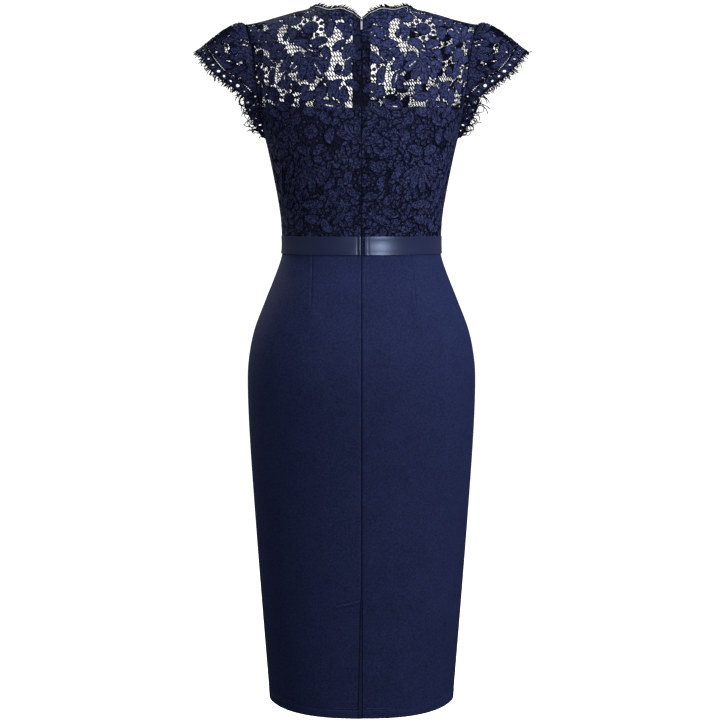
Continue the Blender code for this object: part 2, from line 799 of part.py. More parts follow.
def new_collection(name):
    made = bpy.data.collections.new(name)
    bpy.context.scene.collection.children.link(made)
    return made


def main():
    clear_scene()
    dress = new_collection("cocktail_dress")
    cutters = new_collection("cutters")
    knit = material("skirt_knit", NAVY, 0.75)
    lace = material("lace", NAVY_DEEP, 0.85)
    lining = material("lining", NAVY, 0.7)
    satin = material("satin", NAVY_SATIN, 0.3)
    fringe = material("fringe", NAVY_DEEP, 0.9)
    tape = material("zip_tape", NAVY_DEEP, 0.85)
    metal = material("zip_metal", NAVY_METAL, 0.35, 0.6)

    add_skirt(knit, dress)
    front, back = add_bodice(lace, lining, dress)
    add_ribbon(satin, dress)
    add_sleeves(front, back, lace, fringe, dress)
    add_neck_fringe(front, back, fringe, dress)
    add_zip_tapes(back, tape, dress)
    frame = zip_frame()
    add_slider(frame, metal, dress, cutters)
    add_pull(frame, metal, dress, cutters)


main()
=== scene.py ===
"""Looks of a cocktail dress: corded lace bodice, cap sleeves, satin ribbon and pencil skirt.

Run with Blender 4.5. It loads the dress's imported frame, builds each cloth piece on the frame's
own surface, and sets the stage, the lights and the camera.

+Z is up, the back faces +Y and the wearer's left is +X. Tables and functions work in millimetres
and points become metres when a mesh is made. "Height" is z, below the shoulder seam's neck end.
"""
import json
import math
import sys
from collections import namedtuple
from functools import lru_cache

import bpy
import numpy as np
from mathutils import Vector
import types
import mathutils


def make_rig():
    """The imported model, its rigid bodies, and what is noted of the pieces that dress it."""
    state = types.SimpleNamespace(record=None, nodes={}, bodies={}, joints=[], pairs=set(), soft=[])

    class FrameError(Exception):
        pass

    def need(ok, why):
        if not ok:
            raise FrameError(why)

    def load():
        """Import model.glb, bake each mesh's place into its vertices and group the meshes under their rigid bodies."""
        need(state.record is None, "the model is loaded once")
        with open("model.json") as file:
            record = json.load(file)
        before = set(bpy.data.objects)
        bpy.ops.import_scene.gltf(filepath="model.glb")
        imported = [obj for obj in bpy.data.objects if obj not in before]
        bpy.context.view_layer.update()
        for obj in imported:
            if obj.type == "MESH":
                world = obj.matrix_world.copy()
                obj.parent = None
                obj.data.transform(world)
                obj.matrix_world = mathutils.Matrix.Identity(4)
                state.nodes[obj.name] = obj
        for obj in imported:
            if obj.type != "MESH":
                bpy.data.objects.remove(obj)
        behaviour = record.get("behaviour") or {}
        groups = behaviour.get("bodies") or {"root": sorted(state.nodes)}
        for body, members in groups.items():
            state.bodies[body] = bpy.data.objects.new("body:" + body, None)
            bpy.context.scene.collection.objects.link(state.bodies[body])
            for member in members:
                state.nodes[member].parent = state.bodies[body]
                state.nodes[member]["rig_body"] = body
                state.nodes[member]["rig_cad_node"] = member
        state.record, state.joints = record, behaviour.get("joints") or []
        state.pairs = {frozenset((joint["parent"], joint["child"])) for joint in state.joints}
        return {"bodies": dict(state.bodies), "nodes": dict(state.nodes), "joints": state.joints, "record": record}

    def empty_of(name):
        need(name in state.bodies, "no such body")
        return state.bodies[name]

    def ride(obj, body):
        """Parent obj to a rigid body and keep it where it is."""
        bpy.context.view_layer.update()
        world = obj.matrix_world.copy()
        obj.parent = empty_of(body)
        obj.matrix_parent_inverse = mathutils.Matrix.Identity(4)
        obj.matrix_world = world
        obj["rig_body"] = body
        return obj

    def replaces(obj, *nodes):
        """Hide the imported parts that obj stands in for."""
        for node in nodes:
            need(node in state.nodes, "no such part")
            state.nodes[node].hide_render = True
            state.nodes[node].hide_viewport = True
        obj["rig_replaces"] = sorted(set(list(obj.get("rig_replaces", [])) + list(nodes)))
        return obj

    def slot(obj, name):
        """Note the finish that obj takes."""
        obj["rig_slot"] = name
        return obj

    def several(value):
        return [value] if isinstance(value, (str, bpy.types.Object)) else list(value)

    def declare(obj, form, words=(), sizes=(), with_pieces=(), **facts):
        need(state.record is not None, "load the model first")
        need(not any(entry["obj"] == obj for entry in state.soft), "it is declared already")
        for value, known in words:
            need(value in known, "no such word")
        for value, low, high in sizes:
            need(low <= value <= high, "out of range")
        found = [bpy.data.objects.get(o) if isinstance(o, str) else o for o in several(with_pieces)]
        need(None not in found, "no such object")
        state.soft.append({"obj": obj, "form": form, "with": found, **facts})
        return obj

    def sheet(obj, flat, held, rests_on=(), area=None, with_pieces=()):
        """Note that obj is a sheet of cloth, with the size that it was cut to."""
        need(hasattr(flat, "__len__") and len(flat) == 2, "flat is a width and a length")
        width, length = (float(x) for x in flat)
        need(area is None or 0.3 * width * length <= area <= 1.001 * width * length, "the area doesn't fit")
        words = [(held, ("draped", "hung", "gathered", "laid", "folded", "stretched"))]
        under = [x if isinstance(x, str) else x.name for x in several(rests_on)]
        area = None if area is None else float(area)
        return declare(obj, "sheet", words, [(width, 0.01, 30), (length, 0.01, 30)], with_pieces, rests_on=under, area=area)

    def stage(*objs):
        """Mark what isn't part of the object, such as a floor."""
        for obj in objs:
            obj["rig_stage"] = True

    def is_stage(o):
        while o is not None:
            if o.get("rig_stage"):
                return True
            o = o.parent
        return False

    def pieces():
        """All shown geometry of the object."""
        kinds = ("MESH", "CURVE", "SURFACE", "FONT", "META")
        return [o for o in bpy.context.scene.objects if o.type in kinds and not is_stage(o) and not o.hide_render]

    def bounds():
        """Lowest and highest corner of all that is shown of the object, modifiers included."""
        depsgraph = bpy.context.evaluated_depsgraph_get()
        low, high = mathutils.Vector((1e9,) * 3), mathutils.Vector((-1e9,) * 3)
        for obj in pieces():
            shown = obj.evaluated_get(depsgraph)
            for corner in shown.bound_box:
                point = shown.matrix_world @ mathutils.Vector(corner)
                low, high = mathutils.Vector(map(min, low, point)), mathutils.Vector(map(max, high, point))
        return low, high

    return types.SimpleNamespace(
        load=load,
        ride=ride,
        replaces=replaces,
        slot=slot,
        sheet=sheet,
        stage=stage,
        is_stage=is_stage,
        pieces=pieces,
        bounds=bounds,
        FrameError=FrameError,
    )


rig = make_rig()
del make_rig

bl_info = {
    "name": "Lace Cocktail Dress",
    "version": (1, 0, 0),
    "blender": (4, 5, 0),
    "location": "View3D > Sidebar > Dress",
    "description": "Builds the cloth, trims and stage of a lace cocktail dress",
    "category": "Add Mesh",
}

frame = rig.load()
CAD_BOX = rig.bounds()
BODY_NAME = "dress"
MM = 0.001

# ---------------- the frame's sizes, mm
CLOTH = 1.0
GAP = 0.3
HALF_GAP = 0.15
LAYER = CLOTH + GAP         # from one cloth's face to the next one's
HEM = -1022.0
WAIST = -345.0
UNDERARM = -190.0
SHOULDER_POINT = (167.0, -26.0)
NECK_POINT = (74.0, -2.0)
SHOULDER_ROUND = 120.0
SHOULDER_POWER = 2.1
SCOOP_DROP = 126.0
SCOOP_POWER = 2.3
LINING_TOP = -152.7
LINING_RISE = 5.5
RIBBON_TOP = -332.0
RIBBON_BOTTOM = -358.0
ZIP_SLIT = 0.8
TAPE_EDGE = 13.0
TAPE_BOTTOM = -455.0
VENT_TOP = -848.0
VENT_SLOPE = 0.29
VENT_UNDERLAP = 38.0
VENT_DRIFT = 4.0
VENT_CREASE = 1.75

Ring = namedtuple("Ring", "height half_width back front power")
BODY = [
    Ring(60.0, 180.0, 80.0, 84.0, 2.40),
    Ring(-26.0, 174.0, 92.0, 96.0, 2.40),
    Ring(-80.0, 165.0, 101.0, 104.0, 2.40),
    Ring(-140.0, 152.0, 104.0, 116.0, 2.40),
    Ring(-190.0, 140.6, 101.5, 124.0, 2.36),
    Ring(-246.0, 128.4, 96.0, 123.0, 2.32),
    Ring(-295.0, 120.0, 89.0, 107.0, 2.28),
    Ring(-333.0, 116.7, 85.0, 96.0, 2.25),
    Ring(-359.0, 117.6, 87.0, 95.0, 2.24),
    Ring(-383.0, 125.0, 93.0, 98.0, 2.22),
    Ring(-427.0, 142.5, 108.0, 103.0, 2.20),
    Ring(-472.0, 159.4, 119.0, 107.0, 2.20),
    Ring(-516.0, 167.7, 125.0, 108.0, 2.20),
    Ring(-554.0, 169.2, 125.5, 108.0, 2.20),
    Ring(-629.0, 166.7, 119.0, 106.0, 2.20),
    Ring(-742.0, 159.8, 111.0, 103.0, 2.20),
    Ring(-879.0, 150.2, 106.0, 100.0, 2.20),
    Ring(-1022.0, 139.4, 104.0, 98.0, 2.20),
]

LinePoint = namedtuple("LinePoint", "x height")
SHOULDER_LINE = [
    LinePoint(0.0, 47.0), LinePoint(40.0, 23.0), LinePoint(74.0, -2.0), LinePoint(97.0, -8.5),
    LinePoint(122.0, -15.5), LinePoint(150.0, -23.0), LinePoint(167.0, -26.0),
    LinePoint(190.0, -30.0),
]
BACK_NECK = [
    LinePoint(0.0, -28.0), LinePoint(6.0, -23.5), LinePoint(13.3, -17.5), LinePoint(27.0, -12.5),
    LinePoint(50.0, -8.5), LinePoint(74.0, -2.0),
]

SeamPoint = namedtuple("SeamPoint", "height x")
ARMHOLE = [
    SeamPoint(60.0, 172.0), SeamPoint(-26.0, 167.0), SeamPoint(-50.0, 160.0),
    SeamPoint(-80.0, 154.0), SeamPoint(-120.0, 149.5), SeamPoint(-150.0, 147.0),
]
ARMHOLE_TURN = -150.0
ARMHOLE_TURN_POWER = 0.55

SleeveRow = namedtuple("SleeveRow", "armhole_height edge_x edge_y edge_height crown")
SLEEVE = [
    SleeveRow(-26.0, 240.0, 0.0, -62.0, 10.0),
    SleeveRow(-38.0, 235.5, 14.0, -68.0, 9.0),
    SleeveRow(-56.0, 225.0, 27.0, -83.0, 7.5),
    SleeveRow(-76.0, 209.0, 36.0, -101.0, 5.5),
    SleeveRow(-98.0, 187.0, 41.0, -116.0, 3.5),
    SleeveRow(-122.0, 171.0, 42.0, -132.0, 2.0),
    SleeveRow(-148.0, 166.0, 36.0, -150.0, 1.0),
    SleeveRow(-170.0, 156.0, 23.0, -170.0, 0.5),
    SleeveRow(-190.0, 145.1, 0.0, -189.0, 0.0),
]
SIGN = {"back": 1.0, "front": -1.0}


# ---------------- the body's surface
@lru_cache(maxsize=None)
def curve_of(name, column):
    """A table's keys, values and slopes, lowest key first."""
    rows = sorted(globals()[name])
    keys = np.array([row[0] for row in rows])
    values = np.array([getattr(row, column) for row in rows])
    at = np.arange(len(keys))
    before = np.maximum(at - 1, 0)
    after = np.minimum(at + 1, len(keys) - 1)
    return keys, values, (values[after] - values[before]) / (keys[after] - keys[before])


def along(name, column, at):
    """A column of a table, read smoothly at values of its first column."""
    keys, values, slopes = curve_of(name, column)
    at = np.clip(at, keys[0], keys[-1])
    i = np.clip(np.searchsorted(keys, at, side="right") - 1, 0, len(keys) - 2)
    span = keys[i + 1] - keys[i]
    t = (at - keys[i]) / span
    rise = values[i + 1] - values[i]
    start = slopes[i] * span
    end = slopes[i + 1] * span
    return values[i] + t * (start + t * (3 * rise - 2 * start - end + t * (start + end - 2 * rise)))


def mix(a, b, share):
    return a + (b - a) * share


def to_side(half, *arrays):
    """The same points or directions on the wearer's left, with half 1, or right, with -1."""
    return [array * (half, 1.0, 1.0) for array in arrays]


def running_total(steps):
    """Sums along the last axis, from nothing up to the whole."""
    return np.concatenate([np.zeros_like(steps[..., :1]), np.cumsum(steps, -1)], -1)


def far_along(points):
    """The distance along each line of points, at each point of it."""
    return running_total(np.linalg.norm(np.diff(points, axis=-2), axis=-1))


def read_at(at, keys, rows):
    """Rows of values, read between the keys that they stand at."""
    made = [np.interp(at, keys, column) for column in rows.reshape(len(rows), -1).T]
    return np.stack(made, 1).reshape(len(at), *rows.shape[1:])


def unit(vectors):
    return vectors / np.maximum(np.linalg.norm(vectors, axis=-1, keepdims=True), 1e-9)


def smooth_step(low, high, at):
    t = np.clip((at - low) / (high - low), 0, 1)
    return t * t * (3 - 2 * t)


def bell(at, middle, width):
    """1 at the middle, falling to nothing a couple of widths away."""
    return np.exp(-((at - middle) / width) ** 2)


def signed_power(values, power):
    return np.sign(values) * np.abs(values) ** power


def bulge(share, power):
    """The height of a rounded form, from 1 at its middle to 0 at its edge, where share is 1."""
    return (1 - share ** power) ** (1 / power)


def half_width(z):
    return along("BODY", "half_width", z)


def ring_power(z):
    return along("BODY", "power", z)


def shoulder_share(x, z):
    """How far a point lies down the rounding below the shoulder line, from 0 to 1."""
    return np.clip((along("SHOULDER_LINE", "height", np.abs(x)) - z) / SHOULDER_ROUND, 0, 1)


def body_point(side, x, z):
    """The outer surface of the cloth at one side's x and height."""
    x, z = np.broadcast_arrays(np.asarray(x, float), np.asarray(z, float))
    flat = bulge(np.minimum(np.abs(x) / half_width(z), 1), ring_power(z))
    y = along("BODY", side, z) * flat * bulge(1 - shoulder_share(x, z), SHOULDER_POWER) + HALF_GAP
    return np.stack([x, SIGN[side] * y, z], -1)


def surface_excess(side, x, y, z):
    """Zero on the body surface and positive outside it."""
    width = half_width(z)
    power = ring_power(z)
    depth = along("BODY", side, z)
    share = shoulder_share(x, z)
    flat = bulge(np.minimum(np.abs(x) / width, 0.999), power)
    rounded = (np.abs(y) / (depth * flat)) ** SHOULDER_POWER + (1 - share) ** SHOULDER_POWER - 1
    plain = (np.abs(x) / width) ** power + (np.abs(y) / depth) ** power - 1
    return np.where(share < 1, rounded, plain)


def body_normal(side, points):
    """The outward normals of the body surface."""
    step = 0.05
    x = points[..., 0]
    y = points[..., 1] - SIGN[side] * HALF_GAP
    z = points[..., 2]
    slope = [
        surface_excess(side, x + step, y, z) - surface_excess(side, x - step, y, z),
        surface_excess(side, x, y + step, z) - surface_excess(side, x, y - step, z),
        surface_excess(side, x, y, z + step) - surface_excess(side, x, y, z - step),
    ]
    return unit(np.stack(slope, -1))


def on_body(side, x, z, lift=0.0):
    """Points off the body's surface by a lift, and their normals."""
    points = body_point(side, x, z)
    normals = body_normal(side, points)
    return points + normals * np.asarray(lift)[..., None], normals


def armhole_x(side, z):
    """The armhole seam's distance from the centre at a height above the underarm."""
    turn_x = along("ARMHOLE", "x", ARMHOLE_TURN)
    at_turn = np.abs(body_point(side, turn_x, ARMHOLE_TURN)[1]) - HALF_GAP
    share = np.clip((z - UNDERARM) / (ARMHOLE_TURN - UNDERARM), 0, 1)
    reach = at_turn * share ** ARMHOLE_TURN_POWER / along("BODY", side, z)
    turned_in = half_width(z) * bulge(np.minimum(reach, 1), ring_power(z))
    return np.where(z >= ARMHOLE_TURN, along("ARMHOLE", "x", z), turned_in)


def side_limit(side, z):
    """How far out a bodice panel goes: to its side seam, or above the underarm to the armhole."""
    return np.where(z < UNDERARM, half_width(z), armhole_x(side, z))


SCALLOP_PEAK = 28.0         # distance of the first scallop's peak from the zip
SCALLOP_LENGTH = 37.0
SCALLOP_RISE = 1.6


def back_neck_height(x):
    """The back neckline with its shallow scallops, which fade towards the zip and shoulder."""
    x = np.abs(x)
    wave = SCALLOP_RISE * np.cos(2 * math.pi * (x - SCALLOP_PEAK) / SCALLOP_LENGTH)
    fade = smooth_step(12, 24, x) * (1 - smooth_step(66, 74, x))
    return along("BACK_NECK", "height", x) + wave * fade


def front_scoop(angle):
    """Points of the front neckline; the angle runs from 0 at the centre to 90 degrees."""
    x = NECK_POINT[0] * np.sin(angle) ** (2 / SCOOP_POWER)
    z = NECK_POINT[1] - SCOOP_DROP * np.maximum(np.cos(angle), 0) ** (2 / SCOOP_POWER)
    return x, z


def lining_top(x):
    share = np.abs(x) / half_width(LINING_TOP)
    return LINING_TOP + LINING_RISE * share ** 2


# ---------------- meshes
def mesh_object(name, points, faces, materials, looks=None, flat=None, sharp=40.0):
    """An object from points in mm, faces, the material number and the flat place of each."""
    mesh = bpy.data.meshes.new(name)
    mesh.from_pydata((np.asarray(points) * MM).tolist(), [], np.asarray(faces).tolist())
    for material in materials:
        mesh.materials.append(material)
    if looks is not None:
        mesh.polygons.foreach_set("material_index", np.asarray(looks, np.int32))
    if flat is not None:
        layer = mesh.uv_layers.new(name="flat")
        corner = np.zeros(len(mesh.loops), np.int32)
        mesh.loops.foreach_get("vertex_index", corner)
        layer.data.foreach_set("uv", np.asarray(flat)[corner].astype(np.float32).ravel())
    mesh.shade_smooth()
    mesh.set_sharp_from_angle(angle=math.radians(sharp))
    made = bpy.data.objects.new(name, mesh)
    bpy.context.scene.collection.objects.link(made)
    return made


def grid_normals(points, outward):
    """Normals of a grid of points, turned to the side that outward points to."""
    down = np.gradient(points, axis=0)
    right = np.gradient(points, axis=1)
    normals = unit(np.cross(down, right))
    if (normals * outward).sum() < 0:
        normals = -normals
    return normals


def used_only(points, faces, places):
    """A mesh without the points that none of its faces uses."""
    used = np.unique(faces)
    renumber = np.zeros(len(points), int)
    renumber[used] = np.arange(len(used))
    return points[used], renumber[faces], places[used]


def cloth_sheet(name, grid, material, keep=None, depth=0.0, wall=CLOTH):
    """A thin closed sheet: the grid, the same grid a wall deeper, and its edges between."""
    points, normals, flat = grid
    rows, columns = points.shape[:2]
    whole = rows * columns
    number = np.arange(whole).reshape(rows, columns)
    quads = np.stack([number[:-1, :-1], number[:-1, 1:], number[1:, 1:], number[1:, :-1]], -1)
    if keep is not None:
        quads = quads[keep]
    quads = quads.reshape(-1, 4)
    p = points.reshape(-1, 3)
    n = normals.reshape(-1, 3)
    facing = np.cross(p[quads[:, 2]] - p[quads[:, 0]], p[quads[:, 3]] - p[quads[:, 1]])
    if (facing * n[quads[:, 0]]).sum() < 0:
        quads = quads[:, ::-1]
    start = quads.ravel()
    end = np.roll(quads, -1, axis=1).ravel()
    border = ~np.isin(start * whole + end, end * whole + start)
    start = start[border]
    end = end[border]
    rim = np.stack([end, start, start + whole, end + whole], 1)
    faces = np.concatenate([quads, quads[:, ::-1] + whole, rim])
    both = np.concatenate([p - n * depth, p - n * (depth + wall)])
    places = np.concatenate([flat.reshape(-1, 2)] * 2)
    points, faces, places = used_only(both, faces, places)
    return mesh_object(name, points, faces, [material], flat=places)


def tubes(paths, radius, across, sides=3, taper=0.0):
    """Round threads along paths of equal count: points, faces and flat places.

    paths is threads x points x 3; across is a direction for each that is square to it.
    """
    threads, steps = paths.shape[:2]
    forward = unit(np.gradient(paths, axis=1))
    one = unit(np.cross(forward, np.broadcast_to(across, paths.shape)))
    other = np.cross(forward, one)
    thick = radius * (1 - taper * np.linspace(0, 1, steps))[None, :, None]
    turns = 2 * math.pi * np.arange(sides) / sides
    points = np.stack([paths + (one * math.cos(a) + other * math.sin(a)) * thick for a in turns], 2)
    number = np.arange(threads * steps * sides).reshape(threads, steps, sides)
    turned = np.roll(number, -1, axis=2)
    faces = np.stack([number[:, :-1], number[:, 1:], turned[:, 1:], turned[:, :-1]], -1)
    flat = np.stack([
        np.broadcast_to(far_along(paths)[:, :, None], number.shape),
        np.broadcast_to(turns * radius, number.shape),
    ], -1)
    return points.reshape(-1, 3), faces.reshape(-1, 4), flat.reshape(-1, 2)


def join(parts):
    """Several meshes as one. Each is its points, its faces and any more arrays."""
    columns = list(zip(*parts))
    first = np.cumsum([0] + [len(points) for points in columns[0]])
    columns[1] = [faces + number for faces, number in zip(columns[1], first)]
    return [np.concatenate(column) for column in columns]


def resampled(path, step):
    """A path's points at even steps of its length."""
    far = far_along(path)
    count = max(int(round(far[-1] / step)), 2)
    return read_at(np.linspace(0, far[-1], count + 1), far, path)


def sampled(array, at):
    """Rows of an array between its rows, at evenly numbered places."""
    return read_at(at, np.arange(len(array)), array)


def thread_object(name, made, material):
    """An object of one finish from its points, faces and flat places."""
    points, faces, flat = made
    return mesh_object(name, points, faces, [material], flat=flat)


# ---------------- lace motifs, flat mm
REPEAT = np.array((160.0, 150.0))
COVER_STEP = 1.25
Motif = namedtuple("Motif", "kind x y length width turn bend slit level points",
                   defaults=(0.0, 0.0, 0, 14))
Thread = namedtuple("Thread", "path width level")
Leaf = namedtuple("Leaf", "x y length width turn bend")
Filling = namedtuple("Filling", "kind length width margin count limit")

# Leaves of the repeat, placed between the flowers.
LEAVES = [
    Leaf(76, 72, 30, 14, -78, 0.12), Leaf(140, 84, 30, 15, -20, 0.15),
    Leaf(134, 72, 32, 14, -58, -0.10), Leaf(60, 34, 32, 15, -60, 0.14),
    Leaf(66, 6, 30, 14, 62, 0.10), Leaf(2, 88, 28, 14, 50, 0.12),
    Leaf(150, 128, 32, 15, 24, 0.15), Leaf(74, 132, 28, 13, 128, 0.12),
    Leaf(4, 6, 30, 14, 200, 0.12), Leaf(122, 10, 30, 14, 168, 0.10),
]
# Open bands between two cords, crossed by bars.
LADDERS = [
    Leaf(62, 88, 38, 6.5, 10, 0.16), Leaf(150, 60, 36, 6.5, -84, 0.16),
    Leaf(4, 78, 36, 6.0, -4, -0.14), Leaf(86, 22, 36, 6.5, 22, 0.16),
    Leaf(52, 140, 30, 6.0, -24, 0.14),
]
# Places where only the net shows.
CLEARINGS = [
    Leaf(70, 124, 40, 8.5, -84, -0.24), Leaf(76, 76, 34, 8, -140, 0.14),
    Leaf(120, 80, 44, 8.5, 40, -0.24), Leaf(152, 98, 36, 8, 98, 0.16),
    Leaf(60, 70, 44, 8.5, -78, 0.24), Leaf(54, 24, 38, 8, -150, 0.16),
    Leaf(84, 34, 36, 8, -60, 0.24), Leaf(138, 44, 42, 8.5, -112, -0.20),
    Leaf(20, 72, 40, 8, 64, -0.22), Leaf(8, 130, 42, 8.5, -74, 0.22),
    Leaf(24, 144, 34, 8, -14, 0.18), Leaf(2, 38, 42, 8.5, -92, -0.18),
    Leaf(98, 150, 38, 8, 8, -0.16), Leaf(130, 140, 34, 8, 66, 0.16),
    Leaf(48, 6, 34, 7.5, 96, 0.18), Leaf(102, 8, 32, 7.5, -24, 0.18),
    Leaf(36, 122, 30, 7.5, 80, 0.20), Leaf(88, 96, 26, 7, 150, 0.16),
    Leaf(118, 22, 26, 7, 70, -0.18), Leaf(14, 18, 26, 7, 10, -0.16),
    Leaf(150, 44, 36, 8, -98, 0.20), Leaf(12, 104, 36, 8, 78, -0.20),
    Leaf(42, 54, 34, 8, -66, 0.18), Leaf(80, 106, 34, 8, -104, 0.20),
]
Rose = namedtuple("Rose", "x y size turn petals")
ROSES = [Rose(104, 112, 34, 12, 7), Rose(28, 44, 29, 40, 6)]
# A rose's rings: where each motif starts and its sizes, as shares of the rose's.
RosePart = namedtuple("RosePart", "kind start length width points")
ROSE_PETAL = RosePart("heart", 0.57, 0.50, 5.4, 16)     # this width is shared among the petals
ROSE_BEAD = RosePart("disc", 0.375, 0.19, 0.19, 10)
ROSE_CENTRE = RosePart("petal", 0.04, 0.31, 0.33, 12)
BEAD_THREAD = (0.30, 0.64)
FAN_SHORTER = 0.18          # how much shorter a fan's outer petals are
FAN_START = 0.10
FAN_BOSS = 0.32
FILLINGS = [
    Filling("petal", 25, 19, 0.4, 30, 0.30), Filling("leaf", 26, 12, 0.4, 40, 0.34),
    Filling("heart", 16, 13, 0.2, 60, 0.42), Filling("leaf", 15, 8, 0.2, 40, 0.34),
    Filling("disc", 7.5, 6.5, 0.0, 45, 0.40),
]
FILL_SEED = 7
FILL_TURNS = 12             # ways round in which each filling is tried
OPEN_LIMIT = 0.08           # share of a filling that may lie over an open place
SLIT = 1.3                  # width of the slit along a leaf or a large filling
SLIT_SPAN = (0.28, 0.55)    # shares of a motif's length where its slit starts and that it takes
SLIT_FROM = 20.0            # fillings this long may have one
FULL_FROM = 12.0            # fillings this long get the full count of edge points
NET_CELL = (4.0, 9.0)
NET_LEAN = 19               # cells the net leans sideways over the height of a repeat
NET_STRAIGHT = 0.48         # share of a row's height in which the threads run straight up
BAR_STEP = 3.1


def motif_outline(shape, inset=0.0):
    """A motif's edge moved in, along +X from its base at zero."""
    s = np.linspace(0, 2 * math.pi, shape.points, endpoint=False)
    length = shape.length - 2 * inset
    width = max(shape.width - 2 * inset, 0.0)
    if shape.kind == "cell":
        x = (1 - signed_power(np.cos(s), 0.4)) / 2 * length + inset
        return np.stack([x, signed_power(np.sin(s), 0.4) * width / 2], -1)
    share = (1 - np.cos(s)) / 2
    across = width / 2 * np.sin(s)
    if shape.kind == "leaf":
        across = width / 2 * signed_power(np.sin(s), 1.3)
    elif shape.kind == "petal":
        across = across * (0.52 + 0.66 * share + 0.07 * np.cos(7 * s))
        share = share + 0.05 * np.cos(5 * s) * (share > 0.5)
    elif shape.kind == "heart":
        across = across * (0.60 + 0.58 * share)
        share = share - 0.15 * bell(s, math.pi, 0.42)
    return curved(shape, share * length + inset, across)


def curved(shape, x, across):
    """Points of a motif's own axes, bent sideways along its length."""
    share = np.clip(x / shape.length, 0, 1)
    return np.stack([x, across + 4 * shape.bend * shape.length * share * (1 - share)], -1)


def slit_outline(shape, grown=0.0):
    """The edge of the sheer slit along the middle of a motif."""
    if shape.kind == "cell":
        s = np.linspace(0, 2 * math.pi, shape.points, endpoint=False)
        radius = shape.slit / 2 + grown
        return np.stack([shape.length / 2 - radius * np.cos(s), radius * np.sin(s)], -1)
    start, share = SLIT_SPAN
    opening = motif_outline(Motif("leaf", 0, 0, share * shape.length + 2 * grown,
                                  shape.slit + 2 * grown, 0, points=shape.points))
    return curved(shape, start * shape.length - grown + opening[:, 0], opening[:, 1])


def laid(shape, points):
    """Points of a motif's own axes, turned and moved to its place."""
    a = math.radians(shape.turn)
    turn = np.array([[math.cos(a), math.sin(a)], [-math.sin(a), math.cos(a)]])
    return points @ turn + (shape.x, shape.y)


def around(x, y, radius, turn):
    a = math.radians(turn)
    return x + radius * math.cos(a), y + radius * math.sin(a)


def rose(row, level):
    """Broad petals about an open ring with beads in it, which rings a full centre."""
    x, y, size, turn, petals = row
    made = []

    def ring(part, turns, width, levels):
        for k, a in enumerate(turns):
            made.append(Motif(part.kind, *around(x, y, part.start * size, a), part.length * size,
                              width * size, a, level=level + levels[k % 2], points=part.points))

    step = 360 / petals
    number = np.arange(petals)
    ring(ROSE_PETAL, turn + step * (number + 0.5), ROSE_PETAL.width / petals, (0, 1))
    ring(ROSE_BEAD, bead_turns(row), ROSE_BEAD.width, (1, 1))
    ring(ROSE_CENTRE, turn + step * number, ROSE_CENTRE.width, (0, 1))
    made.append(Motif("disc", x - 0.10 * size, y, 0.20 * size, 0.18 * size, 0,
                      level=level + 2, points=10))
    return made


def bead_turns(row):
    beads = row.petals + 3
    return row.turn + 360 / beads * (np.arange(beads) + 0.2)


def bead_ring(row):
    """The open ring in a rose: its region, and the threads that hold its beads."""
    region = np.array([around(row.x, row.y, 0.58 * row.size, a) for a in range(0, 360, 15)])
    ends = [[around(row.x, row.y, share * row.size, a) for share in BEAD_THREAD]
            for a in bead_turns(row)]
    return region, [Thread(np.array(pair), 0.9, 0) for pair in ends]


def fan(x, y, length, width, turns, level, slit):
    """Petals that spread from a round boss, the middle ones longest."""
    made = []
    middle = sum(turns) / len(turns)
    spread = max(abs(a - middle) for a in turns)
    for k, a in enumerate(turns):
        long = length * (1 - FAN_SHORTER * abs(a - middle) / spread)
        made.append(Motif("petal", *around(x, y, FAN_START * length, a), long, width, a,
                          slit=slit * (k % 3 == 1), level=level + k % 2, points=14))
    boss = FAN_BOSS * length
    made.append(Motif("disc", x - boss / 2, y, boss, boss, 0, level=level + 3, points=10))
    return made


def ladder(row):
    """A curved open band: its region, and the threads of its two cords and its bars."""
    bars = max(int(row.length / BAR_STEP), 4)
    s = np.linspace(0.04, 0.96, bars)
    shape = Motif("band", *row)
    middle = curved(shape, s * row.length, np.zeros(bars))
    tangent = unit(np.gradient(middle, axis=0))
    half = row.width / 2 * np.sin(math.pi * s) ** 0.5
    aside = np.stack([-tangent[:, 1], tangent[:, 0]], 1) * half[:, None]
    one = laid(shape, middle + aside)
    other = laid(shape, middle - aside)
    threads = [Thread(one, 1.1, 1), Thread(other, 1.1, 1)]
    threads += [Thread(np.stack([a, b]), 1.0, 0) for a, b in zip(one[1:-1], other[1:-1])]
    return np.vstack([one, other[::-1]]), threads


def inside(points, edge):
    """Which points lie in a polygon."""
    x = points[:, 0][:, None]
    y = points[:, 1][:, None]
    x1, y1 = edge.T
    x2, y2 = np.roll(edge, -1, axis=0).T
    slope = np.where(y2 == y1, 0.0, (x2 - x1) / np.where(y2 == y1, 1.0, y2 - y1))
    hit = ((y1 > y) != (y2 > y)) & (x < slope * (y - y1) + x1)
    return hit.sum(1) % 2 == 1


def grown(edge, by):
    away = unit(edge - edge.mean(0))
    return edge + away * by


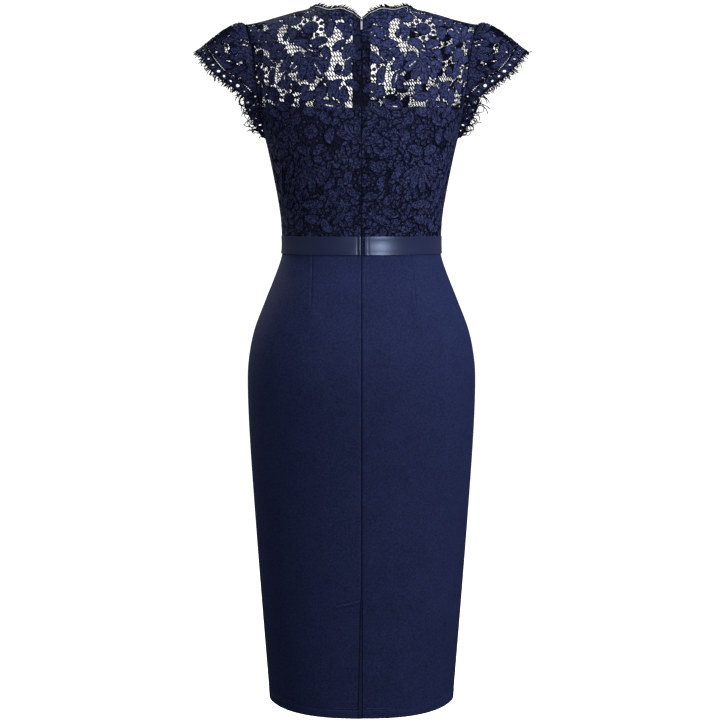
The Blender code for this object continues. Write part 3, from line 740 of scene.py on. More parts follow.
class Cover:
    """A map of the covered part of the repeat, which wraps round."""

    def __init__(self):
        self.count = (REPEAT / COVER_STEP).astype(int)
        self.full = np.zeros(self.count, bool)
        self.open = np.zeros(self.count, bool)

    def cells(self, edge):
        low = np.floor(edge.min(0) / COVER_STEP).astype(int)
        high = np.ceil(edge.max(0) / COVER_STEP).astype(int)
        i, j = np.meshgrid(
            np.arange(low[0], high[0] + 1), np.arange(low[1], high[1] + 1), indexing="ij")
        at = np.stack([i.ravel() + 0.5, j.ravel() + 0.5], 1) * COVER_STEP
        hit = inside(at, edge)
        return i.ravel()[hit] % self.count[0], j.ravel()[hit] % self.count[1]

    def add(self, edge):
        self.full[self.cells(edge)] = True

    def keep_open(self, edge):
        self.open[self.cells(edge)] = True

    def overlap(self, edge):
        """Shares of a shape over others and over the places kept open."""
        cells = self.cells(edge)
        if not len(cells[0]):
            return 1.0, 1.0
        return self.full[cells].mean(), self.open[cells].mean()

    def free_point(self, rng):
        free = np.argwhere(~(self.full | self.open))
        return (free[rng.integers(len(free))] + 0.5) * COVER_STEP if len(free) else None


def fill_up(motifs, cover, scale):
    """Petals, leaves and buds in what is left, each turned to where it fits best."""
    rng = np.random.default_rng(FILL_SEED)
    for filling in FILLINGS:
        slit = SLIT if filling.length * scale > SLIT_FROM else 0.0
        points = 14 if filling.length * scale > FULL_FROM else 8
        for k in range(int(filling.count / scale ** 2)):
            middle = cover.free_point(rng)
            if middle is None:
                return
            size = rng.uniform(0.8, 1.2) * scale
            bend = rng.uniform(-0.15, 0.15)
            long = filling.length * size
            best = None
            for turn in rng.uniform(0, 360, FILL_TURNS):
                x, y = around(*middle, 0.5 * long, turn + 180)
                made = Motif(filling.kind, x, y, long, filling.width * size, turn, bend,
                             slit * (k % 3 == 0), points=points)
                over, shown = cover.overlap(laid(made, motif_outline(made, -filling.margin)))
                if shown < OPEN_LIMIT and (best is None or over < best[0]):
                    best = (over, made)
            if best is not None and best[0] < filling.limit:
                motifs.append(best[1])
                cover.add(laid(best[1], motif_outline(best[1])))


def net_threads(motifs, regions):
    """The ground's threads, which make slim hexagons, without those that a motif hides."""
    across = round(REPEAT[0] / NET_CELL[0])
    rows = 2 * round(REPEAT[1] / (1.5 * NET_CELL[1]))
    w = REPEAT[0] / across
    h = REPEAT[1] / rows
    lean = NET_LEAN * w / REPEAT[1]
    j, i = np.meshgrid(np.arange(rows), np.arange(across), indexing="ij")
    foot = np.stack([(i + 0.5 * (j % 2)) * w, (j - 0.2) * h], -1).reshape(-1, 2)
    top = foot + (0, NET_STRAIGHT * h)
    ways = [(foot, top), (top, foot + (0.5 * w, h)), (top, foot + (-0.5 * w, h))]
    ends = np.concatenate([np.stack(way, 1) for way in ways]).reshape(-1, 2)
    ends = ends + np.stack([ends[:, 1] * lean, np.zeros(len(ends))], 1)
    hidden = np.zeros(len(ends), bool)
    covers = [(laid(m, motif_outline(m, 0.6)), laid(m, slit_outline(m)) if m.slit else None)
              for m in motifs]
    covers += [(grown(region, -0.6), None) for region in regions]
    for edge, slit in covers:
        for move in [REPEAT * (dx, dy) for dx in (-1, 0, 1) for dy in (-1, 0, 1)]:
            near = ((ends >= edge.min(0) + move) & (ends <= edge.max(0) + move)).all(1)
            near = np.nonzero(near)[0]
            hit = inside(ends[near], edge + move)
            if slit is not None:
                hit &= ~inside(ends[near], slit + move)
            hidden[near[hit]] = True
    lines = ends.reshape(-1, 2, 2)
    return lines[~hidden.reshape(-1, 2).all(1)]


# ---------------- lace as triangles
FILL, CORD, NET = range(3)
BOTTOM = -0.32              # underside of the motifs, from the sheet's own surface
CORD_TOP = 0.34
CORD_WIDTH = 0.95
CORD_SHARE = 0.18           # the most of a motif's width that its cord takes
FILL_TOP = 0.12
RIB_TOP = 0.30
LIP_TOP = 0.26
LIP_WIDTH = 0.45            # of the lip round a slit
LEVEL_RISE = 0.08
RIB_FROM = 10.0             # longer motifs have a rib along them, shorter ones a crown
THREAD_BOTTOM = -0.25
SINK = 0.25                 # the sheet lies this deep in the frame's cloth
NET_WIDTH = 1.35
FINE_NET = 0.6              # share of that width where the lace is close or sparse
SMALLEST_FACE = 1e-3        # twice the area, in square mm, under which a face is left out
FlatLace = namedtuple("FlatLace", "points lifts grains owners faces looks")


class LaceSheet:
    """Lace motifs and threads as triangles in flat mm, with the lift of each point."""

    def __init__(self):
        self.made = FlatLace([], [], [], [], [], [])
        self.count = 0
        self.number = 0

    def vertices(self, flat, lift, grain):
        """Adds points and returns their numbers."""
        self.made.points.append(flat)
        self.made.lifts.append(np.broadcast_to(lift, len(flat)))
        self.made.grains.append(grain)
        self.made.owners.append(np.full(len(flat), self.number))
        self.count += len(flat)
        return np.arange(self.count - len(flat), self.count)

    def triangles(self, a, b, c, look):
        self.made.faces.append(np.stack([a, b, c], 1))
        self.made.looks.append(np.full(len(a), look))

    def strip(self, one, other, look):
        """Faces between two closed rings of equal count; the second lies inside the first."""
        one_next = np.roll(one, -1)
        other_next = np.roll(other, -1)
        self.triangles(one, one_next, other_next, look)
        self.triangles(one, other_next, other, look)

    def add_motif(self, shape):
        """A corded edge round a filled inside, with a raised rib, a slit or a low crown."""
        rise = shape.level * LEVEL_RISE

        def ring(points, lift):
            return self.vertices(laid(shape, points), lift, points)

        cord = min(CORD_WIDTH, CORD_SHARE * shape.width)
        low = ring(motif_outline(shape, -0.3 * cord), BOTTOM)
        crest = ring(motif_outline(shape, 0.15 * cord), CORD_TOP + rise)
        foot = ring(motif_outline(shape, cord), FILL_TOP + rise)
        self.strip(low, crest, CORD)
        self.strip(crest, foot, CORD)
        if shape.slit:
            lip = ring(slit_outline(shape, LIP_WIDTH), LIP_TOP + rise)
            under = ring(slit_outline(shape), BOTTOM)
            self.strip(foot, lip, FILL)
            self.strip(lip, under, FILL)
            self.strip(under, low, FILL)
        else:
            middle = curved(shape, np.array([0.5 * shape.length]), np.zeros(1))
            if shape.length > RIB_FROM:
                half = shape.points // 2
                line = motif_outline(shape, cord + 0.3)[:half + 1]
                rib = ring(curved(shape, line[:, 0], np.zeros(half + 1)), RIB_TOP + rise)
                k = np.arange(shape.points)
                self.strip(foot, rib[np.minimum(k, shape.points - k)], FILL)
            else:
                crown = ring(middle, RIB_TOP + rise)
                self.triangles(foot, np.roll(foot, -1), np.broadcast_to(crown, foot.shape), FILL)
            back = ring(middle, BOTTOM)
            self.triangles(np.roll(low, -1), low, np.broadcast_to(back, low.shape), FILL)
        self.number += 1

    def add_thread(self, path, width, look, lift=0.0):
        """A thread as a three-sided prism along a flat path."""
        aside = unit(np.gradient(path, axis=0))
        aside = np.stack([-aside[:, 1], aside[:, 0]], 1) * width / 2
        far = far_along(path)
        grain = np.stack([far, np.zeros(len(far))], 1)
        left = self.vertices(path + aside, lift + THREAD_BOTTOM, grain + (0, width / 2))
        top = self.vertices(path, lift + 0.45 * width - 0.1, grain)
        right = self.vertices(path - aside, lift + THREAD_BOTTOM, grain - (0, width / 2))
        for a, b in ((left, right), (right, top), (top, left)):
            self.triangles(a[:-1], b[:-1], b[1:], look)
            self.triangles(a[:-1], b[1:], a[1:], look)
        self.number += 1

    def arrays(self):
        return FlatLace(*map(np.concatenate, self.made))


# Which clearings are kept open, the scale of the fillings, and the share of the net's width.
# Without fillings there are no fans either.
Ground = namedtuple("Ground", "clearing_step filling net")
GROUNDS = {
    "open": Ground(1, 1.0, 1.0), "dense": Ground(2, 1.0, 1.0),
    "close": Ground(len(CLEARINGS), 0.62, FINE_NET), "sparse": Ground(1, 0.0, FINE_NET),
}


@lru_cache(maxsize=None)
def lace_repeat(kind="open"):
    """The whole repeat: flowers, leaves, ladders, fillings and the net between them."""
    ground = GROUNDS[kind]
    motifs = rose(ROSES[0], 2) + rose(ROSES[1], 2)
    if ground.filling:
        motifs += fan(106, 68, 38, 15, (-150, -122, -95, -68, -40), 3, 1.6)
        motifs += fan(42, 98, 32, 14, (30, 67, 104, 141, 178), 3, 1.6)
    motifs += [
        Motif("leaf", *leaf, slit=SLIT if k % 4 == 0 else 0.0, level=1)
        for k, leaf in enumerate(LEAVES)
    ]
    cover = Cover()
    regions = []
    threads = []
    for region, cords in [ladder(row) for row in LADDERS] + [bead_ring(row) for row in ROSES]:
        regions.append(region)
        threads += cords
        cover.keep_open(grown(region, 0.6))
    for shape in motifs:
        cover.add(laid(shape, motif_outline(shape)))
    for row in CLEARINGS[::ground.clearing_step]:
        cover.keep_open(laid(Motif("leaf", *row), motif_outline(Motif("leaf", *row))))
    if ground.filling:
        fill_up(motifs, cover, ground.filling)
    sheet = LaceSheet()
    for shape in motifs:
        sheet.add_motif(shape)
    for thread in threads:
        sheet.add_thread(thread.path, thread.width, CORD, thread.level * LEVEL_RISE)
    for line in net_threads(motifs, regions):
        sheet.add_thread(line, NET_WIDTH * ground.net, NET)
    return sheet.arrays()


def lace_parts(lace, surface, shifts, low=-1e4, high=1e4):
    """Flat lace repeated over a surface and cut to its borders: points, faces, looks, grains.

    Only motifs and threads whose middle lies between two flat heights are laid.
    """
    parts = []
    size = np.bincount(lace.owners)
    middle = np.bincount(lace.owners, lace.points[:, 1]) / np.maximum(size, 1)
    for shift in shifts:
        flat = lace.points + shift
        owners = np.unique(lace.owners[surface.near(flat)])
        height = middle[owners] + shift[1]
        owners = owners[(height > low) & (height < high)]
        if not len(owners):
            continue
        keep = np.isin(lace.owners, owners)
        number = np.cumsum(keep) - 1
        chosen = keep[lace.faces[:, 0]]
        placed = surface.place(flat[keep], lace.lifts[keep] - SINK)
        triangles = number[lace.faces[chosen]]
        corner = placed[triangles]
        good = SMALLEST_FACE < np.linalg.norm(
            np.cross(corner[:, 1] - corner[:, 0], corner[:, 2] - corner[:, 0]), axis=1)
        parts.append((placed, triangles[good], lace.looks[chosen][good], lace.grains[keep]))
    points, faces, looks, grains = join(parts)
    if turned_over(surface):
        faces = faces[:, ::-1]
    return points, faces, looks, grains


def turned_over(surface):
    """Whether flat places run clockwise on the surface's outer side."""
    start = np.array(surface.sample)
    places = np.stack([start, start + (1, 0), start + (0, 1), start])
    here, along_u, along_w, out = surface.place(places, np.array((0.0, 0.0, 0.0, 1.0)))
    return np.dot(np.cross(along_u - here, along_w - here), out - here) < 0


def lace_object(name, parts, materials):
    points, faces, looks, grains = join(parts)
    points, faces, grains = used_only(points, faces, grains)
    return mesh_object(name, points, faces, materials, looks, grains, sharp=50.0)


NET_STRIP = 2.6             # sheer strip between the motifs and the neck's edge cord
PANEL_REACH = 260.0         # flat distances that are past every panel's side and top
PANEL_TOP = 60.0


class BodyLace:
    """Where lace lies on the bodice. Flat places are the distance round the body from the
    centre back or front, and the distance up along the cloth, level with heights lower down."""

    RING_STEP = 8.0

    def __init__(self, side, half=0):
        self.side = side
        self.half = half
        self.sample = ((half or 1) * 40.0, -280.0)
        self.heights = np.arange(-360.0, 32.0, self.RING_STEP)
        angle = np.linspace(0, math.pi / 2, 91)
        self.x = []
        self.length = []
        for z in self.heights:
            power = 2 / ring_power(z)
            x = half_width(z) * np.sin(angle) ** power
            y = along("BODY", side, z) * np.maximum(np.cos(angle), 0) ** power
            self.x.append(x)
            self.length.append(running_total(np.hypot(np.diff(x), np.diff(y))))
        self.longest = np.array([length[-1] for length in self.length])
        share = np.linspace(1, 0, 200)
        depth = 0.8 * along("BODY", side, -60.0)
        out = depth * bulge(1 - share, SHOULDER_POWER)
        self.over_share = share
        self.over_length = running_total(np.hypot(SHOULDER_ROUND * np.diff(share), np.diff(out)))

    def across(self, u, z):
        """x at a distance round the ring of each height."""
        row = np.clip((z - self.heights[0]) / self.RING_STEP, 0, len(self.heights) - 1.001)
        low = row.astype(int)
        x = np.zeros_like(u)
        for k in np.unique(low):
            at = low == k
            x[at] = mix(np.interp(u[at], self.length[k], self.x[k]),
                        np.interp(u[at], self.length[k + 1], self.x[k + 1]), (row - low)[at])
        return x

    def unrolled(self, flat):
        """x and height of flat places, and which of them are past the side or the shoulder."""
        u = np.abs(flat[:, 0])
        w = flat[:, 1]
        z = np.clip(w, self.heights[0], 0)
        for _ in range(4):
            x = self.across(u, z)
            top = along("SHOULDER_LINE", "height", x)
            past = w - (top - SHOULDER_ROUND)
            round_over = top - SHOULDER_ROUND * np.interp(past, self.over_length, self.over_share)
            z = np.where(past > 0, round_over, w)
        outside = (u > np.interp(z, self.heights, self.longest)) | (past > self.over_length[-1])
        return x, z, outside

    def scoop_radius(self, x, z):
        """Under 1 inside the front neckline."""
        drop = np.maximum(NECK_POINT[1] - z, 0)
        return ((x / NECK_POINT[0]) ** SCOOP_POWER
                + (drop / SCOOP_DROP) ** SCOOP_POWER) ** (1 / SCOOP_POWER)

    def near(self, flat):
        """Which flat places lie on the panel."""
        x, z, outside = self.unrolled(flat)
        outside |= (z < WAIST) | (x > side_limit(self.side, z))
        if self.side == "back":
            above = (z > back_neck_height(x) - NET_STRIP) & (x < NECK_POINT[0])
            outside |= (flat[:, 0] * self.half < ZIP_SLIT) | above
        else:
            outside |= self.scoop_radius(x, z) < 1
        return ~outside

    def place(self, flat, lift):
        """Points in space; what lies past a border is drawn back to it."""
        x, z, _ = self.unrolled(flat)
        z = np.maximum(z, WAIST)
        sign = np.sign(flat[:, 0])
        if self.side == "back":
            x = np.where(flat[:, 0] * self.half < ZIP_SLIT, ZIP_SLIT, x)
            sign = self.half
            top = np.where(x < NECK_POINT[0], back_neck_height(x) - NET_STRIP, 100.0)
            z = np.minimum(z, np.minimum(top, along("SHOULDER_LINE", "height", x)))
        else:
            ratio = np.maximum(self.scoop_radius(x, z), 0.05)
            push = np.maximum(1 / ratio, 1)
            z = np.where(z < NECK_POINT[1], NECK_POINT[1] - (NECK_POINT[1] - z) * push, z)
            x = x * push
        x = np.minimum(x, side_limit(self.side, z))
        return on_body(self.side, x * sign, z, lift)[0]

    def shifts(self, phase):
        """Moves of the repeat that cover the panel."""
        low = 0 if self.half >= 0 and self.side == "back" else -PANEL_REACH
        high = 0 if self.half < 0 else PANEL_REACH
        u0 = math.floor((low - phase[0]) / REPEAT[0])
        u1 = math.ceil((high - phase[0]) / REPEAT[0])
        w0 = math.floor((WAIST - phase[1]) / REPEAT[1])
        w1 = math.ceil((PANEL_TOP - phase[1]) / REPEAT[1])
        return [phase + REPEAT * (i, j) for i in range(u0, u1 + 1) for j in range(w0, w1 + 1)]


class NeckBand:
    """Where the close lace under the back neckline lies. Flat places are the distance from the
    zip and the height above the band's top, which is a sheer strip below the neckline."""

    def __init__(self, half):
        self.half = half
        self.sample = (40.0, -8.0)

    def near(self, flat):
        return (flat[:, 0] > ZIP_SLIT) & (flat[:, 0] < NECK_POINT[0]) & (flat[:, 1] < 0)

    def place(self, flat, lift):
        x = np.clip(flat[:, 0], ZIP_SLIT, NECK_POINT[0])
        z = back_neck_height(x) - NET_STRIP + np.minimum(flat[:, 1], 0)
        return on_body("back", x * self.half, z, lift)[0]


@lru_cache(maxsize=None)
def neck_lace():
    """Two close rows of petals and leaves for the band under the neckline."""
    sheet = LaceSheet()
    rng = np.random.default_rng(3)
    kinds = ("petal", "leaf", "heart", "leaf", "petal", "disc")
    for row, top in enumerate((1.5, -7.0)):
        for k, x in enumerate(np.arange(1.5 + 2 * row, 79.0, 5.4)):
            long = rng.uniform(7.5, 15.5) - 2 * row
            sheet.add_motif(Motif(kinds[(k + row) % 6], x + rng.uniform(-1.6, 1.6), top, long,
                                  min(long * rng.uniform(0.5, 0.95), 10.5), rng.uniform(-160, -20),
                                  rng.uniform(-0.2, 0.2), slit=1.0 * (k % 4 == row),
                                  level=4 + (2 * k + row) % 3))
    return sheet.arrays()


# ---------------- sleeves
SEAM_POINTS = 150           # points of half the armhole seam
SLEEVE_ROWS = 261
SLEEVE_COLUMNS = 27
SEWN_GAP = 0.4
GATHER_LENGTH = 6.2         # one gather to the next along the armhole
GATHER_DEPTH = 1.3
GATHER_END = -100.0         # height on the armhole where the gathers have run out
FOLD_LENGTH = 29.0          # broad waves across the sleeve
FOLD_DEPTH = 1.4
SLEEVE_OUT = np.array((1.0, 0.0, 0.6))
EYELET_STEP = 12.2
EYELET_BAND = 14.5          # from the edge to the top of the row of eyelets
EYELET_HOLE = 5.8
LADDER_BAND = 17.6          # from the edge to the top of the ladder above the eyelets


def armhole_points():
    """The armhole seam from the underarm up the back and down the front, with its normals."""
    z = mix(UNDERARM, SHOULDER_POINT[1], np.linspace(0, 1, SEAM_POINTS) ** 1.6)
    back, front = [on_body(side, armhole_x(side, z), z) for side in ("back", "front")]
    return [np.concatenate([up, down[-2::-1]]) for up, down in zip(back, front)]


@lru_cache(maxsize=None)
def sleeve_grid():
    """The left sleeve's points, rows along its edge and columns from the armhole to the edge."""
    seam, normal = armhole_points()
    share = np.linspace(0, 1, SLEEVE_COLUMNS)
    z = np.minimum(seam[:, 2], SHOULDER_POINT[1])
    side = np.where(np.arange(len(z)) < (len(z) + 1) // 2, 1.0, -1.0)
    edge = np.stack([
        along("SLEEVE", "edge_x", z),
        side * (along("SLEEVE", "edge_y", z) + HALF_GAP),
        along("SLEEVE", "edge_height", z),
    ], -1)
    lift = np.maximum(along("SLEEVE", "crown", z), 0)[:, None] * np.sin(math.pi * share ** 0.5)
    out = unit(edge - seam)
    seam = seam + out * SEWN_GAP
    points = mix(seam[:, None], edge[:, None], share[None, :, None])
    points = points + normal[:, None] * lift[..., None]
    length = far_along(seam) + far_along(edge)
    at = np.linspace(0, length[-1], SLEEVE_ROWS)
    even = read_at(at, length, points)
    far = far_along(even[:, 0])[:, None]
    wave = np.sin(2 * math.pi * far / GATHER_LENGTH + 0.9 * np.sin(far / 17) + 0.6 * np.sin(far / 7.3))
    soft = np.sin(2 * math.pi * far / FOLD_LENGTH + 1.1 * np.sin(far / 41))
    run = smooth_step(GATHER_END, SHOULDER_POINT[1] - 12, np.interp(at, length, z))[:, None]
    reach = 0.45 + 0.25 * np.sin(far / 5.1)
    fade = np.clip(1 - share / reach, 0, 1) * np.minimum(share * 9, 1)
    push = GATHER_DEPTH * wave * run * fade + FOLD_DEPTH * soft * run * np.sin(math.pi * share)
    even = even + grid_normals(even, SLEEVE_OUT) * push[..., None]
    return even, grid_normals(even, SLEEVE_OUT)


def grid_place(grid, row, column):
    """Values of a grid between its points."""
    r = np.clip(row, 0, grid.shape[0] - 1.001)
    c = np.clip(column, 0, grid.shape[1] - 1.001)
    i = r.astype(int)
    j = c.astype(int)
    r = (r - i)[:, None]
    c = (c - j)[:, None]
    low = mix(grid[i, j], grid[i, j + 1], c)
    high = mix(grid[i + 1, j], grid[i + 1, j + 1], c)
    return mix(low, high, r)


class SleeveLace:
    """Where lace lies on a sleeve. Flat places are the distance along its edge, from the
    underarm up the back and down the front, and the distance in from the edge."""

    def __init__(self, half, low=0.0, high=None):
        self.points, self.normals = to_side(half, *sleeve_grid())
        self.low = low
        self.high = high
        self.length = far_along(self.points[:, -1])
        self.width = far_along(self.points)[:, -1]
        self.sample = (self.length[-1] / 2, 22.0)

    def row_at(self, flat):
        """The row of the sleeve's grid at flat places, and the sleeve's width there."""
        rows = np.arange(len(self.length))
        row = np.interp(flat[:, 0], self.length, rows)
        return row, np.interp(row, rows, self.width)

    def near(self, flat):
        _, width = self.row_at(flat)
        high = width if self.high is None else np.minimum(width, self.high)
        inside_ends = (flat[:, 0] > 0) & (flat[:, 0] < self.length[-1])
        return inside_ends & (flat[:, 1] > self.low) & (flat[:, 1] < high)

    def place(self, flat, lift):
        row, width = self.row_at(flat)
        share = 1 - np.maximum(flat[:, 1], self.low) / width
        column = np.clip(share, 0, 1) * (self.points.shape[1] - 1)
        points = grid_place(self.points, row, column)
        return points + unit(grid_place(self.normals, row, column)) * lift[:, None]

    def shifts(self, phase):
        count = math.ceil(self.length[-1] / REPEAT[0]) + 1
        return [phase + REPEAT * (i, j) for i in range(-1, count) for j in (-1, 0, 1)]


def border_lace(length):
    """The band along a sleeve's edge: a row of eyelets under a ladder of bars."""
    sheet = LaceSheet()
    count = round(length / EYELET_STEP)
    step = length / count
    holes = EYELET_HOLE * np.random.default_rng(7).uniform(0.62, 1.35, count)
    for k in range(count):
        middle = (k + 0.5) * step
        sheet.add_motif(Motif("cell", middle, 0.7, EYELET_BAND - 0.7, step + 0.3, 90,
                              slit=holes[k], level=k % 2, points=16))
    ends = np.arange(0, length, 4.0)
    for q in (EYELET_BAND, LADDER_BAND):
        sheet.add_thread(np.stack([ends, np.full(len(ends), q)], 1), 1.2, CORD)
    for s in np.arange(1.0, length, BAR_STEP):
        sheet.add_thread(np.array(((s, EYELET_BAND), (s, LADDER_BAND))), 1.5, CORD, -0.1)
    return sheet.arrays()


# ---------------- fringes and edge cords
HAIR_STEPS = 7
HAIR_STEP = 2.7             # one thread of a sleeve's fringe to the next, on average
# A fringe's threads: a seed, their lean along the edge for each step out, radius and taper.
Fringe = namedtuple("Fringe", "seed slant radius taper")
SLEEVE_FRINGE = Fringe(21, 0.0, 0.9, 0.25)
BACK_FRINGE = Fringe(31, -0.6, 0.7, 0.3)
FRONT_FRINGE = Fringe(41, 0.5, 0.24, 0.3)
BACK_THREADS = 52
FRONT_THREADS = 250
NECK_BAR_STEP = 1.9         # one bar of the neckline's sheer strip to the next
CURLY_REACH = 92.0          # length of sleeve edge at each end where the threads curl


def edge_hairs(fringe, edge, ways, at, length, curl, rng):
    """Curved threads off an edge at its numbered places, each with its length and curl.

    ways are the directions out, along the edge and up.
    """
    count = len(at)
    out, beside, up = [sampled(way, at) for way in ways]
    out = unit(out + fringe.slant * beside)
    t = np.linspace(0, 1, HAIR_STEPS)[None, :, None]
    start = rng.uniform(-0.45, 0.45, (count, 1, 1))
    turn = start + curl[:, None, None] * t
    tilt = rng.uniform(-0.5, 0.9, (count, 1))
    plane = unit(beside) * np.cos(tilt) + unit(up) * np.sin(tilt)
    direction = out[:, None] * np.cos(turn) + plane[:, None] * np.sin(turn)
    step = direction[:, :-1] * (length / (HAIR_STEPS - 1))[:, None, None]
    path = np.concatenate([np.zeros((count, 1, 3)), np.cumsum(step, axis=1)], 1)
    across = np.cross(out, plane)[:, None]
    return tubes(sampled(edge, at)[:, None] + path, fringe.radius, across, taper=fringe.taper)


def edge_ways(edge, inner, normals):
    """Directions off an edge in the cloth's surface, along it, and up from the cloth."""
    beside = unit(np.gradient(edge, axis=0))
    out = np.cross(beside, normals)
    out = out * np.sign((out * (edge - inner)).sum(-1, keepdims=True))
    return unit(out), beside, normals


def tube_on(points, radius):
    """One round cord along points, with a steady direction across it."""
    forward = unit(np.gradient(points, axis=0))
    steady = np.cross(forward, np.array((0.31, 0.17, 0.93)))
    return tubes(points[None], radius, unit(steady)[None], sides=5)


# ---------------- skirt
DART_BACK = 70.0            # x of each back dart at the waist
DART_SLANT = {1: 1.0, -1: 7.0}
DART_END = -428.0
HEM_STITCH = 11.4           # height of the hem's stitching above the edge
HEM_DIP = 2.3               # how far the back's hem hangs below its seams
STITCH_STEP = 3.4           # one hem stitch to the next, and one row to the next
STITCH_REACH = 132.0        # x where the rows of stitches stop, short of the side seam
STITCH_RADIUS = 0.24
RIDGE_STEP = 3.0            # one stitch of the vent's ridge to the next, and its length
RIDGE_STITCH = 2.2
RIDGE_RADIUS = 0.26
SKIRT_ROWS = 150
DART_SHARE = 0.55           # share of the back panel's columns on the inner side of its dart
FRONT_DART = 62.0
FRONT_DART_SLANT = 6.0
FRONT_DART_END = -432.0
SEAM_TURN = 3.0             # width of the turned edge at a side seam


def dart_x(half, z):
    """x of a back dart, leaning out a little on its way down."""
    return DART_BACK + DART_SLANT[half] * np.clip((WAIST - z) / (WAIST - DART_END), 0, 1.5)


def vent_share(z):
    return np.clip((VENT_TOP - z) / (VENT_TOP - HEM), 0, 1)


def soft_folds(x, z, u):
    """Broad, shallow unevenness of the worn cloth, in mm."""
    low = smooth_step(-480, -760, z)
    drape = 0.9 * np.sin(u / 31 + 0.7 * np.sin(z / 120)) * low
    hip = 0.55 * np.sin(z / 23 + x / 60) * bell(z, -420, 60)
    seat = 0.5 * np.sin(z / 31 + np.abs(x) / 45 + 1.0) * bell(z, -640, 90)
    from_side = half_width(z) - np.abs(x)
    return (drape + hip + seat) * smooth_step(0, 16, from_side)


def hem_dip(x, z):
    """How far the worn back hangs down near its hem, more in the middle than at the sides."""
    share = np.abs(x) / half_width(z)
    return HEM_DIP * (1 - np.minimum(share, 1) ** 4) * smooth_step(HEM + 60, HEM, z)


def seam_line(distance, width=1.3, depth=0.7):
    """A sewn seam: a narrow groove between two slightly raised edges."""
    return -depth * bell(distance, 0, width) + 0.22 * depth * bell(np.abs(distance), 3.2, 2.0)


def panel_edges(x, z):
    """The turn at a panel's side seam, and its hem above the dent of the stitches."""
    width = half_width(z)
    stitch = HEM + HEM_STITCH
    hem = 0.35 * smooth_step(stitch + 1.5, stitch - 1.5, z) - 0.30 * bell(z, stitch, 1.2)
    return hem - 0.6 * smooth_step(width - SEAM_TURN, width, np.abs(x))


def back_relief(half, x, z):
    """How far the back skirt's outer face stands off its smooth surface."""
    ax = np.abs(x)
    lift = soft_folds(x, z, ax)
    dart = dart_x(half, z)
    lift = lift + seam_line(ax - dart, 1.1, 0.75) * smooth_step(DART_END - 12, DART_END + 14, z)
    lift = lift + 1.2 * bell(ax, dart, 9) * bell(z, DART_END - 8, 14)
    lift = lift + seam_line(ax, 1.4, 0.8) * smooth_step(VENT_TOP - 4, VENT_TOP + 6, z)
    return lift + panel_edges(x, z)


def flap_relief(x, z, start):
    """The stitched ridge at the top of the vent's flap, and the roll of the flap's edge."""
    ridge = z - vent_ridge(x)
    run = smooth_step(VENT_UNDERLAP, VENT_UNDERLAP - 6, x)
    rolled = np.clip(1 - (x - start) / 2.2, 0, 1) ** 2 * (z < VENT_TOP)
    return 0.9 * ((bell(ridge, -0.8, 1.6) - bell(ridge, 1.4, 1.0)) * run - rolled)


def skirt_heights(rows=SKIRT_ROWS):
    """Rows from the hem to the waist, closer together at the hem's stitching and the vent."""
    close = np.concatenate([
        np.linspace(HEM, HEM + 20, 16), np.linspace(VENT_TOP - 20, VENT_TOP + 4, 27),
        np.linspace(DART_END - 20, DART_END + 20, 14),
    ])
    return np.unique(np.concatenate([np.linspace(HEM, WAIST, rows), close]).round(2))


def back_columns():
    """Shares of the half width, closer together round the dart's share."""
    plain = np.sin(np.linspace(0, math.pi / 2, 56)) ** (2 / 2.2)
    near_dart = DART_SHARE + np.array((-4.5, -3, -2, -1.2, -0.6, 0, 0.6, 1.2, 2, 3, 4.5)) / 120
    near_centre = np.array((0.6, 1.3, 2.2, 3.4, 5.0)) / 150
    return np.unique(np.concatenate([plain, near_dart, near_centre]).round(5))


def back_x(half, z, start):
    """x of each column at each row; the columns keep beside the dart."""
    width = half_width(z)
    share = back_columns()[None, :]
    place = ((dart_x(half, z) - start) / (width - start))[:, None]
    bent = np.where(share < DART_SHARE, share / DART_SHARE * place,
                    place + (share - DART_SHARE) / (1 - DART_SHARE) * (1 - place))
    follow = smooth_step(DART_END - 130, DART_END - 20, z)[:, None]
    share = mix(share, bent, follow)
    return start[:, None] + (width - start)[:, None] * share


def ring_place(side, x, z):
    """Flat places of body points: distance round from the centre, and height."""
    far = far_along(body_point(side, x, z))
    return np.stack([far, np.broadcast_to(z, far.shape)], -1)


def vent_ridge(x):
    """The height of the slanting stitches that hold the top of the vent."""
    return VENT_TOP - 2 - 0.27 * x


def vent_underlap(z):
    """The strip that reaches under the vent's flap: its points, normals and flat places."""
    x = np.array((VENT_UNDERLAP, 30.0, 22.0, 14.0, 7.0, 2.0, -0.15))[None, :]
    z = np.maximum(z - VENT_SLOPE * np.maximum(x, 0) * (1 - vent_share(z)), HEM)
    points, normals = on_body("back", x, z, -LAYER)
    points[..., 2] -= hem_dip(x, z) + 0.8 * (z < HEM + 1)
    return points, normals, np.stack([-np.broadcast_to(x, z.shape) - 3.2, z], -1)


def skirt_back(half):
    """One back panel's grid of points, normals and flat places, and which cells are cloth."""
    z = skirt_heights()
    if half > 0:
        start = mix(HALF_GAP, VENT_DRIFT, vent_share(z))
    else:
        start = np.where(z <= VENT_TOP, VENT_CREASE, HALF_GAP)
    x = back_x(half, z, start)
    grid_z = np.broadcast_to(z[:, None], x.shape)
    lift = back_relief(half, x, grid_z)
    if half > 0:
        lift = lift + flap_relief(x, grid_z, start[:, None])
    points, normals = on_body("back", x, grid_z, lift)
    points[..., 2] -= hem_dip(x, grid_z)
    flat = ring_place("back", x, grid_z)
    if half > 0:
        return (points, normals, flat), None
    # The right panel's flat places start further out below the vent, so its crease gets less of the knit's painted
    # shadow.
    flat[..., 0] += 2.4 * (grid_z < VENT_TOP)
    under = vent_underlap(z[:, None])
    panel = (*to_side(-1, points, normals), flat)
    grid = [np.concatenate(pair, 1) for pair in zip(under, panel)]
    keep = np.ones(np.subtract(grid[0].shape[:2], 1), bool)
    keep[z[1:] > VENT_TOP + 0.01, :under[0].shape[1]] = False
    return grid, keep


